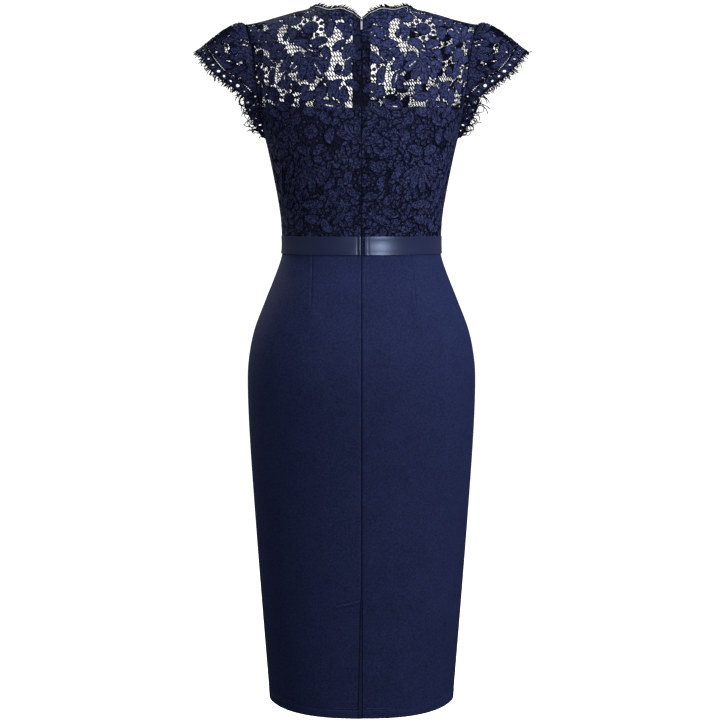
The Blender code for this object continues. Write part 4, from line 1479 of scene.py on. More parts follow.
def skirt_front():
    """The front panel's grid, side seam to side seam."""
    z = skirt_heights(120)
    angle = np.linspace(-math.pi / 2, math.pi / 2, 101)
    power = (2 / ring_power(z))[:, None]
    x = half_width(z)[:, None] * signed_power(np.sin(angle), power)
    grid_z = np.broadcast_to(z[:, None], x.shape)
    dart = FRONT_DART + FRONT_DART_SLANT * np.clip((WAIST - grid_z) / 90, 0, 1.5)
    fade = smooth_step(FRONT_DART_END - 13, FRONT_DART_END + 12, grid_z)
    lift = soft_folds(x, grid_z, x) + seam_line(np.abs(x) - dart, 2.0, 0.5) * fade
    points, normals = on_body("front", x, grid_z, lift + panel_edges(x, grid_z))
    return points, normals, ring_place("front", x, grid_z)


def hem_stitches(side, half, rng):
    """Two rows of small stitches that just show through at the top of the hem, and on the flap
    of the vent the stitches along its ridge."""
    parts = []
    for rise in (0.0, STITCH_STEP):
        for x in np.arange(5.0 + rise, STITCH_REACH, STITCH_STEP):
            ends = x + np.array((-1.1, 1.1)) + rng.uniform(-0.5, 0.5)
            z = np.full(2, HEM + HEM_STITCH + rise) + rng.uniform(-0.2, 0.2)
            line, normals = on_body(side, ends * half, z, 0.5)
            if side == "back":
                line[:, 2] -= hem_dip(ends, z)
            parts.append(tubes(line[None], STITCH_RADIUS, normals[None], sides=4))
    if side == "back" and half > 0:
        for x in np.arange(2.0, VENT_UNDERLAP - 3, RIDGE_STEP):
            ends = np.array((x, x + RIDGE_STITCH))
            line, normals = on_body(side, ends, vent_ridge(ends) - 0.8, 0.95)
            parts.append(tubes(line[None], RIDGE_RADIUS, normals[None], sides=4))
    return parts


# ---------------- lining, ribbon and tapes
PRINCESS_SEAM = 62.0        # x of the lining's lengthwise seam at the waist
PRINCESS_SLANT = 12.0
RIBBON_LEFT = 0.8           # x of the ribbon's end on each side of the zip
RIBBON_RIGHT = 4.2
TAPE_WALL = 0.9


def lining_grid(side, whole):
    """The lining's grid: across from the zip tape or the middle of the front, up to its top."""
    low = np.linspace(WAIST + HALF_GAP, UNDERARM, 40)
    share = np.sin(np.linspace(0, math.pi / 2, 44)) ** (2 / 2.35)
    inner = TAPE_EDGE + 0.02 if side == "back" else 0.0
    rows_x = [inner + (side_limit(side, z) - inner) * share for z in low[:-1]]
    rows_z = [np.full(len(share), z) for z in low[:-1]]
    top = lining_top(inner + (side_limit(side, LINING_TOP) - inner) * share)
    for k in np.linspace(0, 1, 12):
        edge = side_limit(side, np.full(1, mix(UNDERARM, LINING_TOP, k)))
        rows_x.append(inner + (edge - inner) * share)
        rows_z.append(mix(UNDERARM, top, k))
    x = np.array(rows_x)
    z = np.array(rows_z)
    if whole:
        x = np.concatenate([-x[:, :0:-1], x], 1)
        z = np.concatenate([z[:, :0:-1], z], 1)
    princess = PRINCESS_SEAM + PRINCESS_SLANT * smooth_step(WAIST, LINING_TOP, z)
    lift = 0.35 * seam_line(np.abs(x) - princess, 1.6, 0.6)
    return *on_body(side, x, z, lift), np.stack([x, z], -1)


def ribbon_grid():
    """The ribbon's grid, from the zip's left side round the front to its right side."""
    z = np.linspace(RIBBON_BOTTOM, RIBBON_TOP, 13)[:, None]
    width = half_width(z)
    power = 2 / ring_power(z)
    share = np.sin(np.linspace(0, math.pi / 2, 60))[None] ** power
    close = np.concatenate([[0, 0.8, 1.6, 2.4, 3.2, 4.2], np.linspace(6, 10, 3)])[None]
    ends = []
    for start, half in ((RIBBON_LEFT, 1), (RIBBON_RIGHT, -1)):
        x = start + (width - start) * share
        near_end = np.broadcast_to(start + close, (len(z), close.shape[1]))
        ends.append(half * np.concatenate([near_end, x[:, x[0] > start + 12]], 1))
    turn = np.sin(np.linspace(math.pi / 2, -math.pi / 2, 119))[None, 1:-1]
    front = width * signed_power(turn, power)
    parts = [on_body(side, x, z) for side, x in (
        ("back", ends[0]), ("front", front), ("back", ends[1][:, ::-1]))]
    points, normals = [np.concatenate(arrays, 1) for arrays in zip(*parts)]
    far = far_along(points[6])
    share = (points[..., 2] - RIBBON_BOTTOM) / (RIBBON_TOP - RIBBON_BOTTOM)
    lift = 0.25 * np.sin(far / 37)[None] * np.sin(math.pi * share)
    lift = lift + 0.3 * np.sin(far / 11 + 3 * share) * bell(far, 0, 40)[None]
    lift = lift - 0.25 * (bell(share, 0, 0.03) + bell(share, 1, 0.03))
    from_end = np.minimum(far, far[-1] - far)[None]
    lift = lift + 0.7 * bell(from_end, 1.6, 1.5) - 0.4 * bell(from_end, 4.4, 0.9)
    points = points + normals * lift[..., None]
    return points, normals, np.stack([np.broadcast_to(far, lift.shape), points[..., 2]], -1)


def tape_grid(half):
    """One zip tape's grid from below the zip's stop up to the neck edge."""
    x = np.linspace(HALF_GAP, TAPE_EDGE, 9)[None]
    z = mix(TAPE_BOTTOM, back_neck_height(x) - 1.0, np.linspace(0, 1, 150)[:, None])
    x = np.broadcast_to(x, z.shape)
    return *to_side(half, *on_body("back", x, z)), np.stack([x, z], -1)


TEETH_TOP = -38.5
TEETH_STEP = 1.5
TEETH_DEPTH = 3.9           # from the body's surface in to the middle of the coil
TOOTH_REACH = 1.35


def tooth_shape():
    """One loop of the zip's coil, modelled as a ring and squeezed to a rounded hook."""
    bpy.ops.object.select_all(action="DESELECT")
    bpy.ops.mesh.primitive_torus_add(
        major_segments=8, minor_segments=4, major_radius=TOOTH_REACH * MM, minor_radius=0.32 * MM)
    made = bpy.context.active_object
    bpy.ops.object.mode_set(mode="EDIT")
    bpy.ops.mesh.select_all(action="SELECT")
    bpy.ops.transform.resize(value=(1.0, 0.62, 1.15))
    bpy.ops.object.mode_set(mode="OBJECT")
    points = np.array([v.co for v in made.data.vertices]) / MM
    faces = np.array([list(f.vertices) for f in made.data.polygons])
    bpy.data.objects.remove(made)
    return points, faces


def teeth_rows(half):
    """Copies of the loop down one side of the zip, each square to the cloth."""
    points, faces = tooth_shape()
    z = np.arange(TAPE_BOTTOM + 8, TEETH_TOP, TEETH_STEP)
    if half < 0:
        z = z + TEETH_STEP / 2
    place, out = on_body("back", np.ones(len(z)), z)
    out = unit(out * (0.0, 1.0, 1.0))
    up = np.cross(np.array((1.0, 0.0, 0.0)), out)
    axes = np.stack([np.broadcast_to((1.0, 0.0, 0.0), out.shape), out, up], 1)
    made = place[:, None] - out[:, None] * TEETH_DEPTH + np.einsum("pk,nkj->npj", points, axes)
    made = made * (half, 1.0, 1.0)
    every = (faces[None] + len(points) * np.arange(len(z))[:, None, None]).reshape(-1, 4)
    if half < 0:
        every = every[:, ::-1]
    return made.reshape(-1, 3), every, np.tile(points[:, :2], (len(z), 1))


# ---------------- finishes
class Shade:
    """A node tree, or one socket of it. Arithmetic on a socket adds Math nodes."""

    def __init__(self, tree, socket=None):
        self.tree = tree
        self.socket = socket

    def node(self, kind, settings=None, inputs=None, output=0):
        """Adds a node: its settings first, then the values or links of its sockets."""
        made = self.tree.nodes.new(kind)
        for name, value in (settings or {}).items():
            setattr(made, name, value)
        for name, value in (inputs or {}).items():
            self.fill(made.inputs[name], value)
        return Shade(self.tree, made.outputs[output])

    def fill(self, socket, value):
        """Links a socket to a value, or sets it; a colour may come without its alpha."""
        if isinstance(value, Shade):
            self.tree.links.new(value.socket, socket)
        elif socket.type == "RGBA":
            socket.default_value = (*value[:3], 1.0)
        else:
            socket.default_value = value

    def maths(self, operation, *values):
        return self.node("ShaderNodeMath", {"operation": operation}, dict(enumerate(values)))

    def __add__(self, other):
        return self.maths("ADD", self, other)

    def __sub__(self, other):
        return self.maths("SUBTRACT", self, other)

    def __mul__(self, other):
        return self.maths("MULTIPLY", self, other)

    def __truediv__(self, other):
        return self.maths("DIVIDE", self, other)

    def __pow__(self, other):
        return self.maths("POWER", self, other)

    def __rsub__(self, other):
        return self.maths("SUBTRACT", other, self)

    def __rtruediv__(self, other):
        return self.maths("DIVIDE", other, self)

    def __abs__(self):
        return self.maths("ABSOLUTE", self)

    __radd__ = __add__
    __rmul__ = __mul__

    def wave(self, length, shift=0.0):
        """0 to 1 and back once in each length."""
        return self.maths("SINE", (self + shift) * (2 * math.pi / length)) * 0.5 + 0.5

    def ramp(self, start, end, low=0.0, high=1.0, kind="LINEAR"):
        """Low up to the start and high from the end on, with an even or a smooth run between."""
        return self.node("ShaderNodeMapRange", {"interpolation_type": kind}, {
            "Value": self, "From Min": start, "From Max": end, "To Min": low, "To Max": high,
        }, "Result")


def finish_named(name, roughness, **constants):
    """A material with one Principled shader: the material, its shader and its bare tree."""
    material = bpy.data.materials.new(name)
    material.use_nodes = True
    tree = Shade(material.node_tree)
    shader = material.node_tree.nodes["Principled BSDF"]
    for socket, value in {"Roughness": roughness, **constants}.items():
        tree.fill(shader.inputs[socket.replace("_", " ")], value)
    return material, shader, tree


def noise(tree, size, detail=3.0):
    """Noise from 0 to 1 whose blotches are about a size across, in mm of the object."""
    where = tree.node("ShaderNodeTexCoord", output="Object")
    return tree.node("ShaderNodeTexNoise", {}, {"Vector": where, "Scale": 1 / (size * MM),
                                                "Detail": detail}, "Fac")


def place_axis(tree, axis):
    """One coordinate of the place on the dress, in metres."""
    where = tree.node("ShaderNodeTexCoord", output="Object")
    return tree.node("ShaderNodeSeparateXYZ", {}, {"Vector": where}, axis)


def flat_axes(tree):
    """The two flat coordinates of the cloth, in mm."""
    place = tree.node("ShaderNodeUVMap", {"uv_map": "flat"})
    return [tree.node("ShaderNodeSeparateXYZ", {}, {"Vector": place}, axis) for axis in "XY"]


def blend_colours(tree, share, low, high):
    return tree.node("ShaderNodeMix", {"data_type": "RGBA"}, {0: share, 6: low, 7: high}, 2)


def darker(colour, share):
    """The colour times a share, which may be over 1 for a lighter one."""
    return tuple(c * share for c in colour)


def toned(tree, tone, colour, low, high):
    """The colour times a share that runs from low to high with the tone."""
    return blend_colours(tree, tone, darker(colour, low), darker(colour, high))


def dress_finish(tree, shader, colour, rough, height, distance):
    """Links what varies over a surface: its colour, roughness and fine relief."""
    tree.fill(shader.inputs["Base Color"], colour)
    tree.fill(shader.inputs["Roughness"], rough)
    bump = tree.node("ShaderNodeBump", {}, {
        "Height": height, "Distance": distance * MM, "Strength": 1.0}, "Normal")
    tree.fill(shader.inputs["Normal"], bump)


LACE_GLOSS = 0.08
LINED_BAND = (-0.158, -0.148)       # height at which the lining under the lace ends, metres
TAPE_BAND = (0.0085, 0.0125)        # from the zip's middle to where its tape ends
# Past this band painted shade darkens the lace fill of the cap sleeves.
CAP_BAND = (0.148, 0.166)           # from the middle to where the cap sleeves begin
# Past this band the tab's colour turns to painted shade.
RIM_BAND = (0.0009, 0.0015)         # from the middle to the rim of the zip's slider and tab


def twisted_finish(name, colour, shares, lean, turn, rough, relief, gloss=LACE_GLOSS):
    """Twisted thread: turns of two tones that lean along it. rough is where its roughness
    starts and how far it varies."""
    thread, shader, tree = finish_named(name, 0.8, Specular_IOR_Level=gloss)
    x, y = flat_axes(tree)
    twist = (x + y * lean).wave(turn)
    dress_finish(tree, shader, toned(tree, twist, colour, *shares), rough[0] + twist * rough[1],
                 twist, relief)
    return thread


@lru_cache(maxsize=None)
def lace_finishes(colour, cord_colour):
    """The filled motifs, their cords and the net. The fill is veined, and plainer and flatter where the lining shows
    behind it; it darkens over the zip's tapes, and painted shade darkens it on the sleeves and in the grooves of its
    veins and crinkles."""
    fill, shader, tree = finish_named("lace_fill", 0.85, Specular_IOR_Level=LACE_GLOSS)
    x, y = flat_axes(tree)
    threads = (x + y * 0.3).wave(2.3) * 0.5 + y.wave(1.3) * 0.5
    blotch = noise(tree, 9.0) * 0.5 + (noise(tree, 2.2, 1.0) - 0.5) * 1.5 + 0.25
    veins = (y * 2.4 / (x + 7.0) + blotch * 0.5).wave(0.9) ** 6.0
    crinkle = tree.maths("MAXIMUM", 1 - abs(noise(tree, 4.2, 2.0) - 0.5) * 15.0, 0.0)
    off_middle = abs(place_axis(tree, "X"))
    lined = place_axis(tree, "Z").ramp(*LINED_BAND, 1.0, 0.25, "SMOOTHSTEP")
    taped = 1 - off_middle.ramp(*TAPE_BAND, 0.55, 0.0, "SMOOTHSTEP") * (1.15 - lined)
    # Painted shade: the lace fill is darkened to 0.68 of its tone on both cap sleeves.
    capped = off_middle.ramp(*CAP_BAND, 1.0, 0.68)
    # Painted shade: line darkens the fill along the grooves of its veins and crinkles, most where the lining lies
    # behind it.
    line = tree.maths("MAXIMUM", veins * 0.6, crinkle * 0.9) * lined
    speck = tree.maths("MAXIMUM", noise(tree, 1.8, 0.0) - 0.48, 0.0) * 9.0
    speck = tree.maths("MINIMUM", speck, 1.0) * 1.15 - 0.34
    tone = blotch * 1.1 + threads * 0.3 - 0.18 - speck * (1.1 - lined * 0.8)
    tone = tone * taped * capped * (1 + lined * 0.25)
    tone = tree.maths("MAXIMUM", tone - line * 0.8, 0.0)
    dress_finish(tree, shader, toned(tree, tone, colour, 0.20, 1.85), 0.7 + blotch * 0.2,
                 threads + noise(tree, 1.2) * 0.8 - line * 2.0, 0.16)
    cord = twisted_finish("lace_cord", cord_colour, (1.0, 2.2), 1.6, 0.9, (0.7, 0.15), 0.12)
    net = twisted_finish("lace_net", colour, (0.15, 0.4), 1.0, 0.7, (0.7, 0.15), 0.08)
    return [fill, cord, net]


def knit_finish(colour):
    """Matt double knit: fine ribs of loops with a soft bloom, darker towards a panel's edge by painted shadow, which
    at the back lines the centre seam and the vent's flap.
    """
    knit, shader, tree = finish_named("skirt_knit", 0.8, Specular_IOR_Level=0.08)
    x, y = flat_axes(tree)
    loops = x.wave(0.9) * (y + x * 0.25).wave(0.75)
    blotch = noise(tree, 34.0) * 0.6 + noise(tree, 2.2) * 0.4
    # Painted shadow along the edge where the flat places start: the vent's flap edge and the centre seam, widest below
    # the vent's top.
    shadow = y.ramp(VENT_TOP - 2, VENT_TOP + 2, 1.9, 0.4)
    edge = (abs(x) / shadow).ramp(0.5, 1.6, 0.1, 1.0, "SMOOTHSTEP")
    grain = noise(tree, 2.4, 1.0)
    tone = ((blotch * 0.7 + loops * 0.3 + (grain - 0.5) * 1.5) * 0.62 + 0.38) * edge
    dress_finish(tree, shader, toned(tree, tone, colour, 0.15, 1.38), 0.75 + blotch * 0.15,
                 loops + noise(tree, 1.6) * 0.6, 0.14)
    return knit


def lining_finish(colour):
    """Smooth plain-woven lining."""
    lining, shader, tree = finish_named("lining_cloth", 0.75, Specular_IOR_Level=0.12)
    x, y = flat_axes(tree)
    weave = x.wave(0.5) * 0.5 + y.wave(0.5) * 0.5
    tone = noise(tree, 20.0) * 0.8 + weave * 0.2
    dress_finish(tree, shader, toned(tree, tone, colour, 0.7, 1.3), 0.68 + tone * 0.15, weave, 0.05)
    return lining


def satin_finish(colour):
    """Ribbon satin: long floats along the ribbon, bright across it."""
    satin, shader, tree = finish_named(
        "ribbon_satin", 0.34, Specular_IOR_Level=0.6, Specular_Tint=(0.55, 0.68, 1.0))
    x, y = flat_axes(tree)
    floats = y.wave(0.42)
    drawn_out = tree.node("ShaderNodeCombineXYZ", {}, {"X": x * 0.03, "Y": y * 1.4})
    slub = tree.node("ShaderNodeTexNoise", {}, {
        "Vector": drawn_out, "Scale": 1.0, "Detail": 2.0}, "Fac")
    tone = slub * 0.7 + floats * 0.3
    dress_finish(tree, shader, toned(tree, tone, colour, 0.75, 1.3), 0.28 + slub * 0.10,
                 floats * 0.3 + slub, 0.012)
    return satin


def thread_finish(name, colour):
    """Spun thread for fringes, cords and stitches."""
    return twisted_finish(name, colour, (0.6, 1.5), 2.0, 0.8, (0.65, 0.2), 0.08, 0.1)


def tape_finish(colour):
    """Herringbone zip tape."""
    tape, shader, tree = finish_named("zip_tape_weave", 0.85, Specular_IOR_Level=0.1)
    x, y = flat_axes(tree)
    lean = tree.maths("PINGPONG", x, 2.2)
    rib = (y + lean * 1.5).wave(0.9)
    tone = rib * 0.6 + noise(tree, 6.0) * 0.4
    dress_finish(tree, shader, toned(tree, tone, colour, 0.6, 1.4), 0.7 + rib * 0.15, rib, 0.12)
    return tape


def enamel_finish(name, colour, wear_colour, metallic, rim=1.0):
    """Painted zip metal, rubbed through to brighter metal in small places. Off the middle of the zip it is as dark as
    the rim's share says, which paints shade round the tab's sides."""
    enamel, shader, tree = finish_named(
        name, 0.3, Metallic=metallic, Coat_Weight=0.4, Coat_Roughness=0.12)
    blotch = noise(tree, 1.6)
    scuff = noise(tree, 0.7, 5.0).ramp(0.55, 0.72)
    off_middle = abs(place_axis(tree, "X")).ramp(*RIM_BAND, kind="SMOOTHSTEP")
    worn = blend_colours(tree, scuff, colour, wear_colour)
    # A low rim share paints shade off the zip's middle, round the tab's sides.
    rimmed = blend_colours(tree, off_middle, worn, darker(colour, rim))
    dress_finish(tree, shader, rimmed, 0.22 + blotch * 0.2, blotch, 0.02)
    return enamel


# ---------------- settings
def colour_setting(name, what, default):
    return bpy.props.FloatVectorProperty(
        name=name, description=what, default=default, size=3, subtype="COLOR", min=0.0, max=1.0)


def length_setting(name, what, default):
    return bpy.props.FloatProperty(
        name=name, description=what, default=default, min=0.0, soft_max=0.05, unit="LENGTH",
        precision=4)


class DressColours(bpy.types.PropertyGroup):
    """Colours of the dress's cloths and trims"""
    knit: colour_setting("Skirt", "Colour of the skirt's knit", (0.0112, 0.0158, 0.0510))
    lace: colour_setting("Lace", "Colour of the lace's filled motifs", (0.0165, 0.0205, 0.0580))
    cord: colour_setting("Cord", "Colour of the cord round each motif", (0.0016, 0.0020, 0.0060))
    # The lining's navy is set darker than the lace's: partly its own colour, partly painted shade for the lining seen
    # through the lace's gaps.
    lining: colour_setting("Lining", "Colour of the bodice lining", (0.0095, 0.0120, 0.0330))
    satin: colour_setting("Ribbon", "Colour of the satin ribbon", (0.0105, 0.0140, 0.0400))
    fringe: colour_setting("Fringe", "Colour of the eyelash threads", (0.0020, 0.0024, 0.0060))
    tape: colour_setting("Zip tape", "Colour of the zip's tapes", (0.0080, 0.0100, 0.0270))
    metal: colour_setting("Zip metal", "Colour of the slider's enamel", (0.0300, 0.0380, 0.0900))


class DressSizes(bpy.types.PropertyGroup):
    """Sizes of the dress's trims"""
    sleeve_fringe: length_setting("Sleeve fringe", "Longest eyelash thread of a sleeve", 0.0175)
    neck_fringe: length_setting("Neck fringe", "Longest eyelash thread of the neckline", 0.0080)
    edge_cord: length_setting("Edge cord", "Radius of the cord along a lace edge", 0.0007)
    seam_cord: length_setting("Seam cord", "Radius of the bound armhole seam", 0.0010)


# ---------------- pieces
def dress_piece(made, slot, replaced=(), flat=None, area=None, held="hung", rests_on=(), trims=()):
    """Rides a finished piece on the dress and says what it stands for and was cut from."""
    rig.ride(made, BODY_NAME)
    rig.slot(made, slot)
    if replaced:
        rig.replaces(made, *replaced)
    if flat:
        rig.sheet(made, flat=flat, held=held, rests_on=list(rests_on), area=area,
                 with_pieces=list(trims))
    return made


HALVES = (("left", 1), ("right", -1))
# Where a repeat starts on the back, the front and a sleeve, in the panel's flat mm.
LACE_PHASE = np.array((-32.0, 3.0))
FRONT_PHASE = np.array((-73.0, -20.0))
SLEEVE_PHASE = np.array((30.0, 12.0))
FRONT_SPARSE = -156.0       # above this height the front's lace is mostly net
BACK_CLOSE = -153.0         # the back's lace is closely filled below this height


def lace_looks(context):
    colours = context.scene.dress_colours
    return lace_finishes(tuple(colours.lace), tuple(colours.cord))


class DRESS_OT_skirt(bpy.types.Operator):
    """Builds the pencil skirt: a front and two back panels, with the vent and the hem"""
    bl_idname = "dress.skirt"
    bl_label = "Skirt"

    def execute(self, context):
        colour = context.scene.dress_colours.knit
        knit = knit_finish(colour)
        thread = thread_finish("hem_thread", darker(colour, 2.2))
        rng = np.random.default_rng(11)
        made = cloth_sheet("knit_skirt_front", skirt_front(), knit)
        stitches = hem_stitches("front", 1, rng) + hem_stitches("front", -1, rng)
        trim = thread_object("hem_stitches_front", join(stitches), thread)
        dress_piece(trim, "skirt_knit")
        dress_piece(made, "skirt_knit", ["skirt_front"], (0.42, 0.66), 0.265,
                    rests_on=["waist_ribbon"], trims=[trim])
        for name, half in HALVES:
            grid, keep = skirt_back(half)
            made = cloth_sheet("knit_skirt_back_" + name, grid, knit, keep)
            stitches = join(hem_stitches("back", half, rng))
            trim = thread_object("hem_stitches_" + name, stitches, thread)
            dress_piece(trim, "skirt_knit")
            dress_piece(made, "skirt_knit", ["skirt_back_" + name], (0.23, 0.66), 0.139,
                        rests_on=["waist_ribbon"], trims=[trim])
        return {"FINISHED"}


class DRESS_OT_lace(bpy.types.Operator):
    """Builds the bodice's lace: two back panels and the front"""
    bl_idname = "dress.lace"
    bl_label = "Lace bodice"

    def execute(self, context):
        looks = lace_looks(context)
        for name, half in HALVES:
            surface = BodyLace("back", half)
            shifts = surface.shifts(LACE_PHASE)
            parts = [
                lace_parts(lace_repeat("close"), surface, shifts, high=BACK_CLOSE),
                lace_parts(lace_repeat(), surface, shifts, low=BACK_CLOSE),
                lace_parts(neck_lace(), NeckBand(half), [np.zeros(2)]),
            ]
            made = lace_object("lace_back_" + name, parts, looks)
            dress_piece(made, "lace", ["bodice_back_lace_" + name], (0.20, 0.38), 0.0755,
                        rests_on=["lining_back_" + name])
        surface = BodyLace("front")
        shifts = surface.shifts(FRONT_PHASE)
        parts = [
            lace_parts(lace_repeat(), surface, shifts, high=FRONT_SPARSE),
            lace_parts(lace_repeat("sparse"), surface, shifts, low=FRONT_SPARSE),
        ]
        made = lace_object("lace_front", parts, looks)
        dress_piece(made, "lace", ["bodice_front_lace"], (0.41, 0.38), 0.124,
                    rests_on=["lining_front"])
        return {"FINISHED"}


class DRESS_OT_sleeves(bpy.types.Operator):
    """Builds the gathered cap sleeves with their eyelet borders, and the armhole seams"""
    bl_idname = "dress.sleeves"
    bl_label = "Cap sleeves"

    def execute(self, context):
        looks = lace_looks(context)
        sizes = context.scene.dress_sizes
        thread = thread_finish("seam_thread", context.scene.dress_colours.cord)
        for name, half in HALVES:
            inner = SleeveLace(half, low=LADDER_BAND)
            border = SleeveLace(half, high=LADDER_BAND + 1.0)
            parts = [
                lace_parts(lace_repeat("dense"), inner, inner.shifts(SLEEVE_PHASE)),
                lace_parts(border_lace(border.length[-1]), border, [np.zeros(2)]),
            ]
            made = lace_object("sleeve_lace_" + name, parts, looks)
            seam, normal = to_side(half, *armhole_points())
            cord = tube_on(resampled(seam + normal * 0.35, 2.0), sizes.seam_cord / MM)
            binding = thread_object("armhole_seam_" + name, cord, thread)
            dress_piece(binding, "lace")
            dress_piece(made, "lace", ["sleeve_" + name], (0.44, 0.08), 0.0215,
                        held="gathered", rests_on=["armhole_seam_" + name], trims=[binding])
        return {"FINISHED"}


class DRESS_OT_fringes(bpy.types.Operator):
    """Builds the eyelash fringes and the edge cords of the sleeves and the neckline"""
    bl_idname = "dress.fringes"
    bl_label = "Fringes"

    def execute(self, context):
        sizes = context.scene.dress_sizes
        thread = thread_finish("eyelash_thread", context.scene.dress_colours.fringe)
        cord = sizes.edge_cord / MM
        for name, half in HALVES:
            made = sleeve_fringe(half, sizes.sleeve_fringe / MM, cord)
            piece = thread_object("sleeve_eyelash_" + name, made, thread)
            dress_piece(piece, "fringe", ["sleeve_fringe_" + name])
            made = back_neck_edge(half, sizes.neck_fringe / MM, cord)
            piece = thread_object("neck_eyelash_back_" + name, made, thread)
            dress_piece(piece, "fringe", ["neck_fringe_back_" + name])
        made = front_neck_edge(sizes.neck_fringe / MM, cord)
        piece = thread_object("neck_eyelash_front", made, thread)
        dress_piece(piece, "fringe", ["neck_fringe_front"])
        return {"FINISHED"}


def sleeve_fringe(half, longest, cord):
    """The edge cord of one sleeve and its eyelash threads."""
    rng = np.random.default_rng(SLEEVE_FRINGE.seed + half)
    points, normals = to_side(half, *sleeve_grid())
    edge = points[:, -1]
    ways = edge_ways(edge, points[:, -3], normals[:, -1])
    far = far_along(edge)
    s = np.arange(1.0, far[-1] - 1.0, HAIR_STEP)
    s = s + 1.3 * np.sin(s / 1.9) + rng.uniform(-0.8, 0.8, len(s))
    at = np.interp(s, far, np.arange(len(edge)))
    curly = smooth_step(CURLY_REACH, CURLY_REACH - 25, np.minimum(s, far[-1] - s))
    hook = rng.uniform(0.4, 1.3, len(s)) + curly * rng.uniform(0.2, 1.9, len(s))
    curl = hook * np.where(rng.uniform(0, 1, len(s)) < 0.8, -1.0, 1.0)
    clump = 0.78 + 0.22 * np.sin(s / 3.1 + 2 * np.sin(s / 11))
    length = longest * clump * rng.uniform(0.65, 1.0, len(s)) * (0.66 + 0.64 * curly)
    kept = rng.uniform(0, 1, len(s)) > 0.5 * curly
    hair = edge_hairs(SLEEVE_FRINGE, edge, ways, at[kept], length[kept], curl[kept], rng)
    return join([tube_on(resampled(edge, 1.8), cord), hair])


def neck_bars():
    """Short slanting bars across the sheer strip below the back neckline's edge cord."""
    x = np.arange(2.0, NECK_POINT[0], NECK_BAR_STEP)
    z = back_neck_height(x)
    top, normals = on_body("back", x, z, 0.1)
    foot, _ = on_body("back", x + 0.8, z - NET_STRIP)
    return tubes(np.stack([top, foot], 1), 0.48, normals[:, None])


def back_neck_edge(half, longest, cord):
    """Half the back neckline: its edge cord, the bars of its sheer strip and its threads."""
    rng = np.random.default_rng(BACK_FRINGE.seed + half)
    x = np.linspace(ZIP_SLIT, NECK_POINT[0], 90)
    edge, normals = on_body("back", x, back_neck_height(x), 0.1)
    lower, _ = on_body("back", x, back_neck_height(x) - NET_STRIP)
    at = np.linspace(3, 89, BACK_THREADS) + rng.uniform(-0.6, 0.6, BACK_THREADS)
    length = longest * rng.uniform(0.5, 1.0, len(at)) * smooth_step(-2, 20, sampled(edge, at)[:, 0])
    points, faces, flat = join([
        tube_on(resampled(edge, 1.5), 1.5 * cord), tube_on(resampled(lower, 1.5), 0.9 * cord),
        neck_bars(),
        edge_hairs(BACK_FRINGE, edge, edge_ways(edge, lower, normals), at, length,
                   rng.normal(0.2, 0.3, len(at)), rng),
    ])
    return points * (half, 1.0, 1.0), faces if half > 0 else faces[:, ::-1], flat


def front_neck_edge(longest, cord):
    """The front scoop's edge cord and threads."""
    rng = np.random.default_rng(FRONT_FRINGE.seed)
    angle = np.linspace(-math.pi / 2, math.pi / 2, 181)
    x, z = front_scoop(np.abs(angle))
    x = x * np.sign(angle)
    edge, normals = on_body("front", x, z, 0.1)
    below, _ = on_body("front", x * 1.03, NECK_POINT[1] + (z - NECK_POINT[1]) * 1.03 - 0.5)
    at = np.sort(rng.uniform(1, 179, FRONT_THREADS))
    length = longest * rng.uniform(0.5, 1.0, len(at))
    hair = edge_hairs(FRONT_FRINGE, edge, edge_ways(edge, below, normals), at, length,
                      rng.normal(0.3, 0.5, len(at)), rng)
    return join([tube_on(resampled(edge, 1.5), cord), hair])


class DRESS_OT_lining(bpy.types.Operator):
    """Builds the opaque lining that shows below the sheer yoke"""
    bl_idname = "dress.lining"
    bl_label = "Lining"

    def execute(self, context):
        look = lining_finish(context.scene.dress_colours.lining)
        made = cloth_sheet("lining_cloth_front", lining_grid("front", True), look, depth=LAYER)
        dress_piece(made, "lining", ["lining_front"], (0.40, 0.20), 0.076,
                    rests_on=["waist_ribbon"])
        points, normals, flat = lining_grid("back", False)
        for name, half in HALVES:
            grid = (*to_side(half, points, normals), flat)
            made = cloth_sheet("lining_cloth_back_" + name, grid, look, depth=LAYER)
            dress_piece(made, "lining", ["lining_back_" + name], (0.17, 0.20), 0.032,
                        rests_on=["zip_tape_" + name])
        return {"FINISHED"}


class DRESS_OT_ribbon(bpy.types.Operator):
    """Builds the satin ribbon round the waist, turned under at both sides of the zip"""
    bl_idname = "dress.ribbon"
    bl_label = "Waist ribbon"

    def execute(self, context):
        look = satin_finish(context.scene.dress_colours.satin)
        grid = ribbon_grid()
        made = cloth_sheet("satin_ribbon", grid, look, depth=-LAYER)
        length = float(grid[2][..., 0].max()) * MM
        dress_piece(made, "satin", ["waist_ribbon"], (0.026, length), held="stretched",
                    rests_on=["lace_front", "skirt_front"])
        return {"FINISHED"}


class DRESS_OT_zip(bpy.types.Operator):
    """Builds the zip's tapes and coil, and finishes the slider and its pull tab"""
    bl_idname = "dress.zip"
    bl_label = "Zip"

    def execute(self, context):
        colours = context.scene.dress_colours
        tape = tape_finish(colours.tape)
        coil = thread_finish("zip_coil", colours.tape)
        for name, half in HALVES:
            made = cloth_sheet("woven_tape_" + name, tape_grid(half), tape, depth=LAYER,
                               wall=TAPE_WALL)
            teeth = thread_object("zip_coil_" + name, teeth_rows(half), coil)
            dress_piece(teeth, "zip_tape")
            dress_piece(made, "zip_tape", ["zip_tape_" + name], (0.013, 0.44), 0.0055,
                        rests_on=["lace_back_" + name], trims=[teeth])
        enamel = enamel_finish("slider_enamel", colours.metal, (0.35, 0.38, 0.45), 0.7)
        # The tab's pale colour is a painted highlight on navy enamel, and its rim share of 0.01 paints shade round its
        # sides.
        bright = enamel_finish("tab_painted_highlight", (0.62, 0.65, 0.78), (0.8, 0.82, 0.86), 0.6, 0.01)
        for node, look in (("zip_slider", enamel), ("zip_pull", bright)):
            slots = frame["nodes"][node].data.materials
            for k in range(len(slots)):
                slots[k] = look
        return {"FINISHED"}


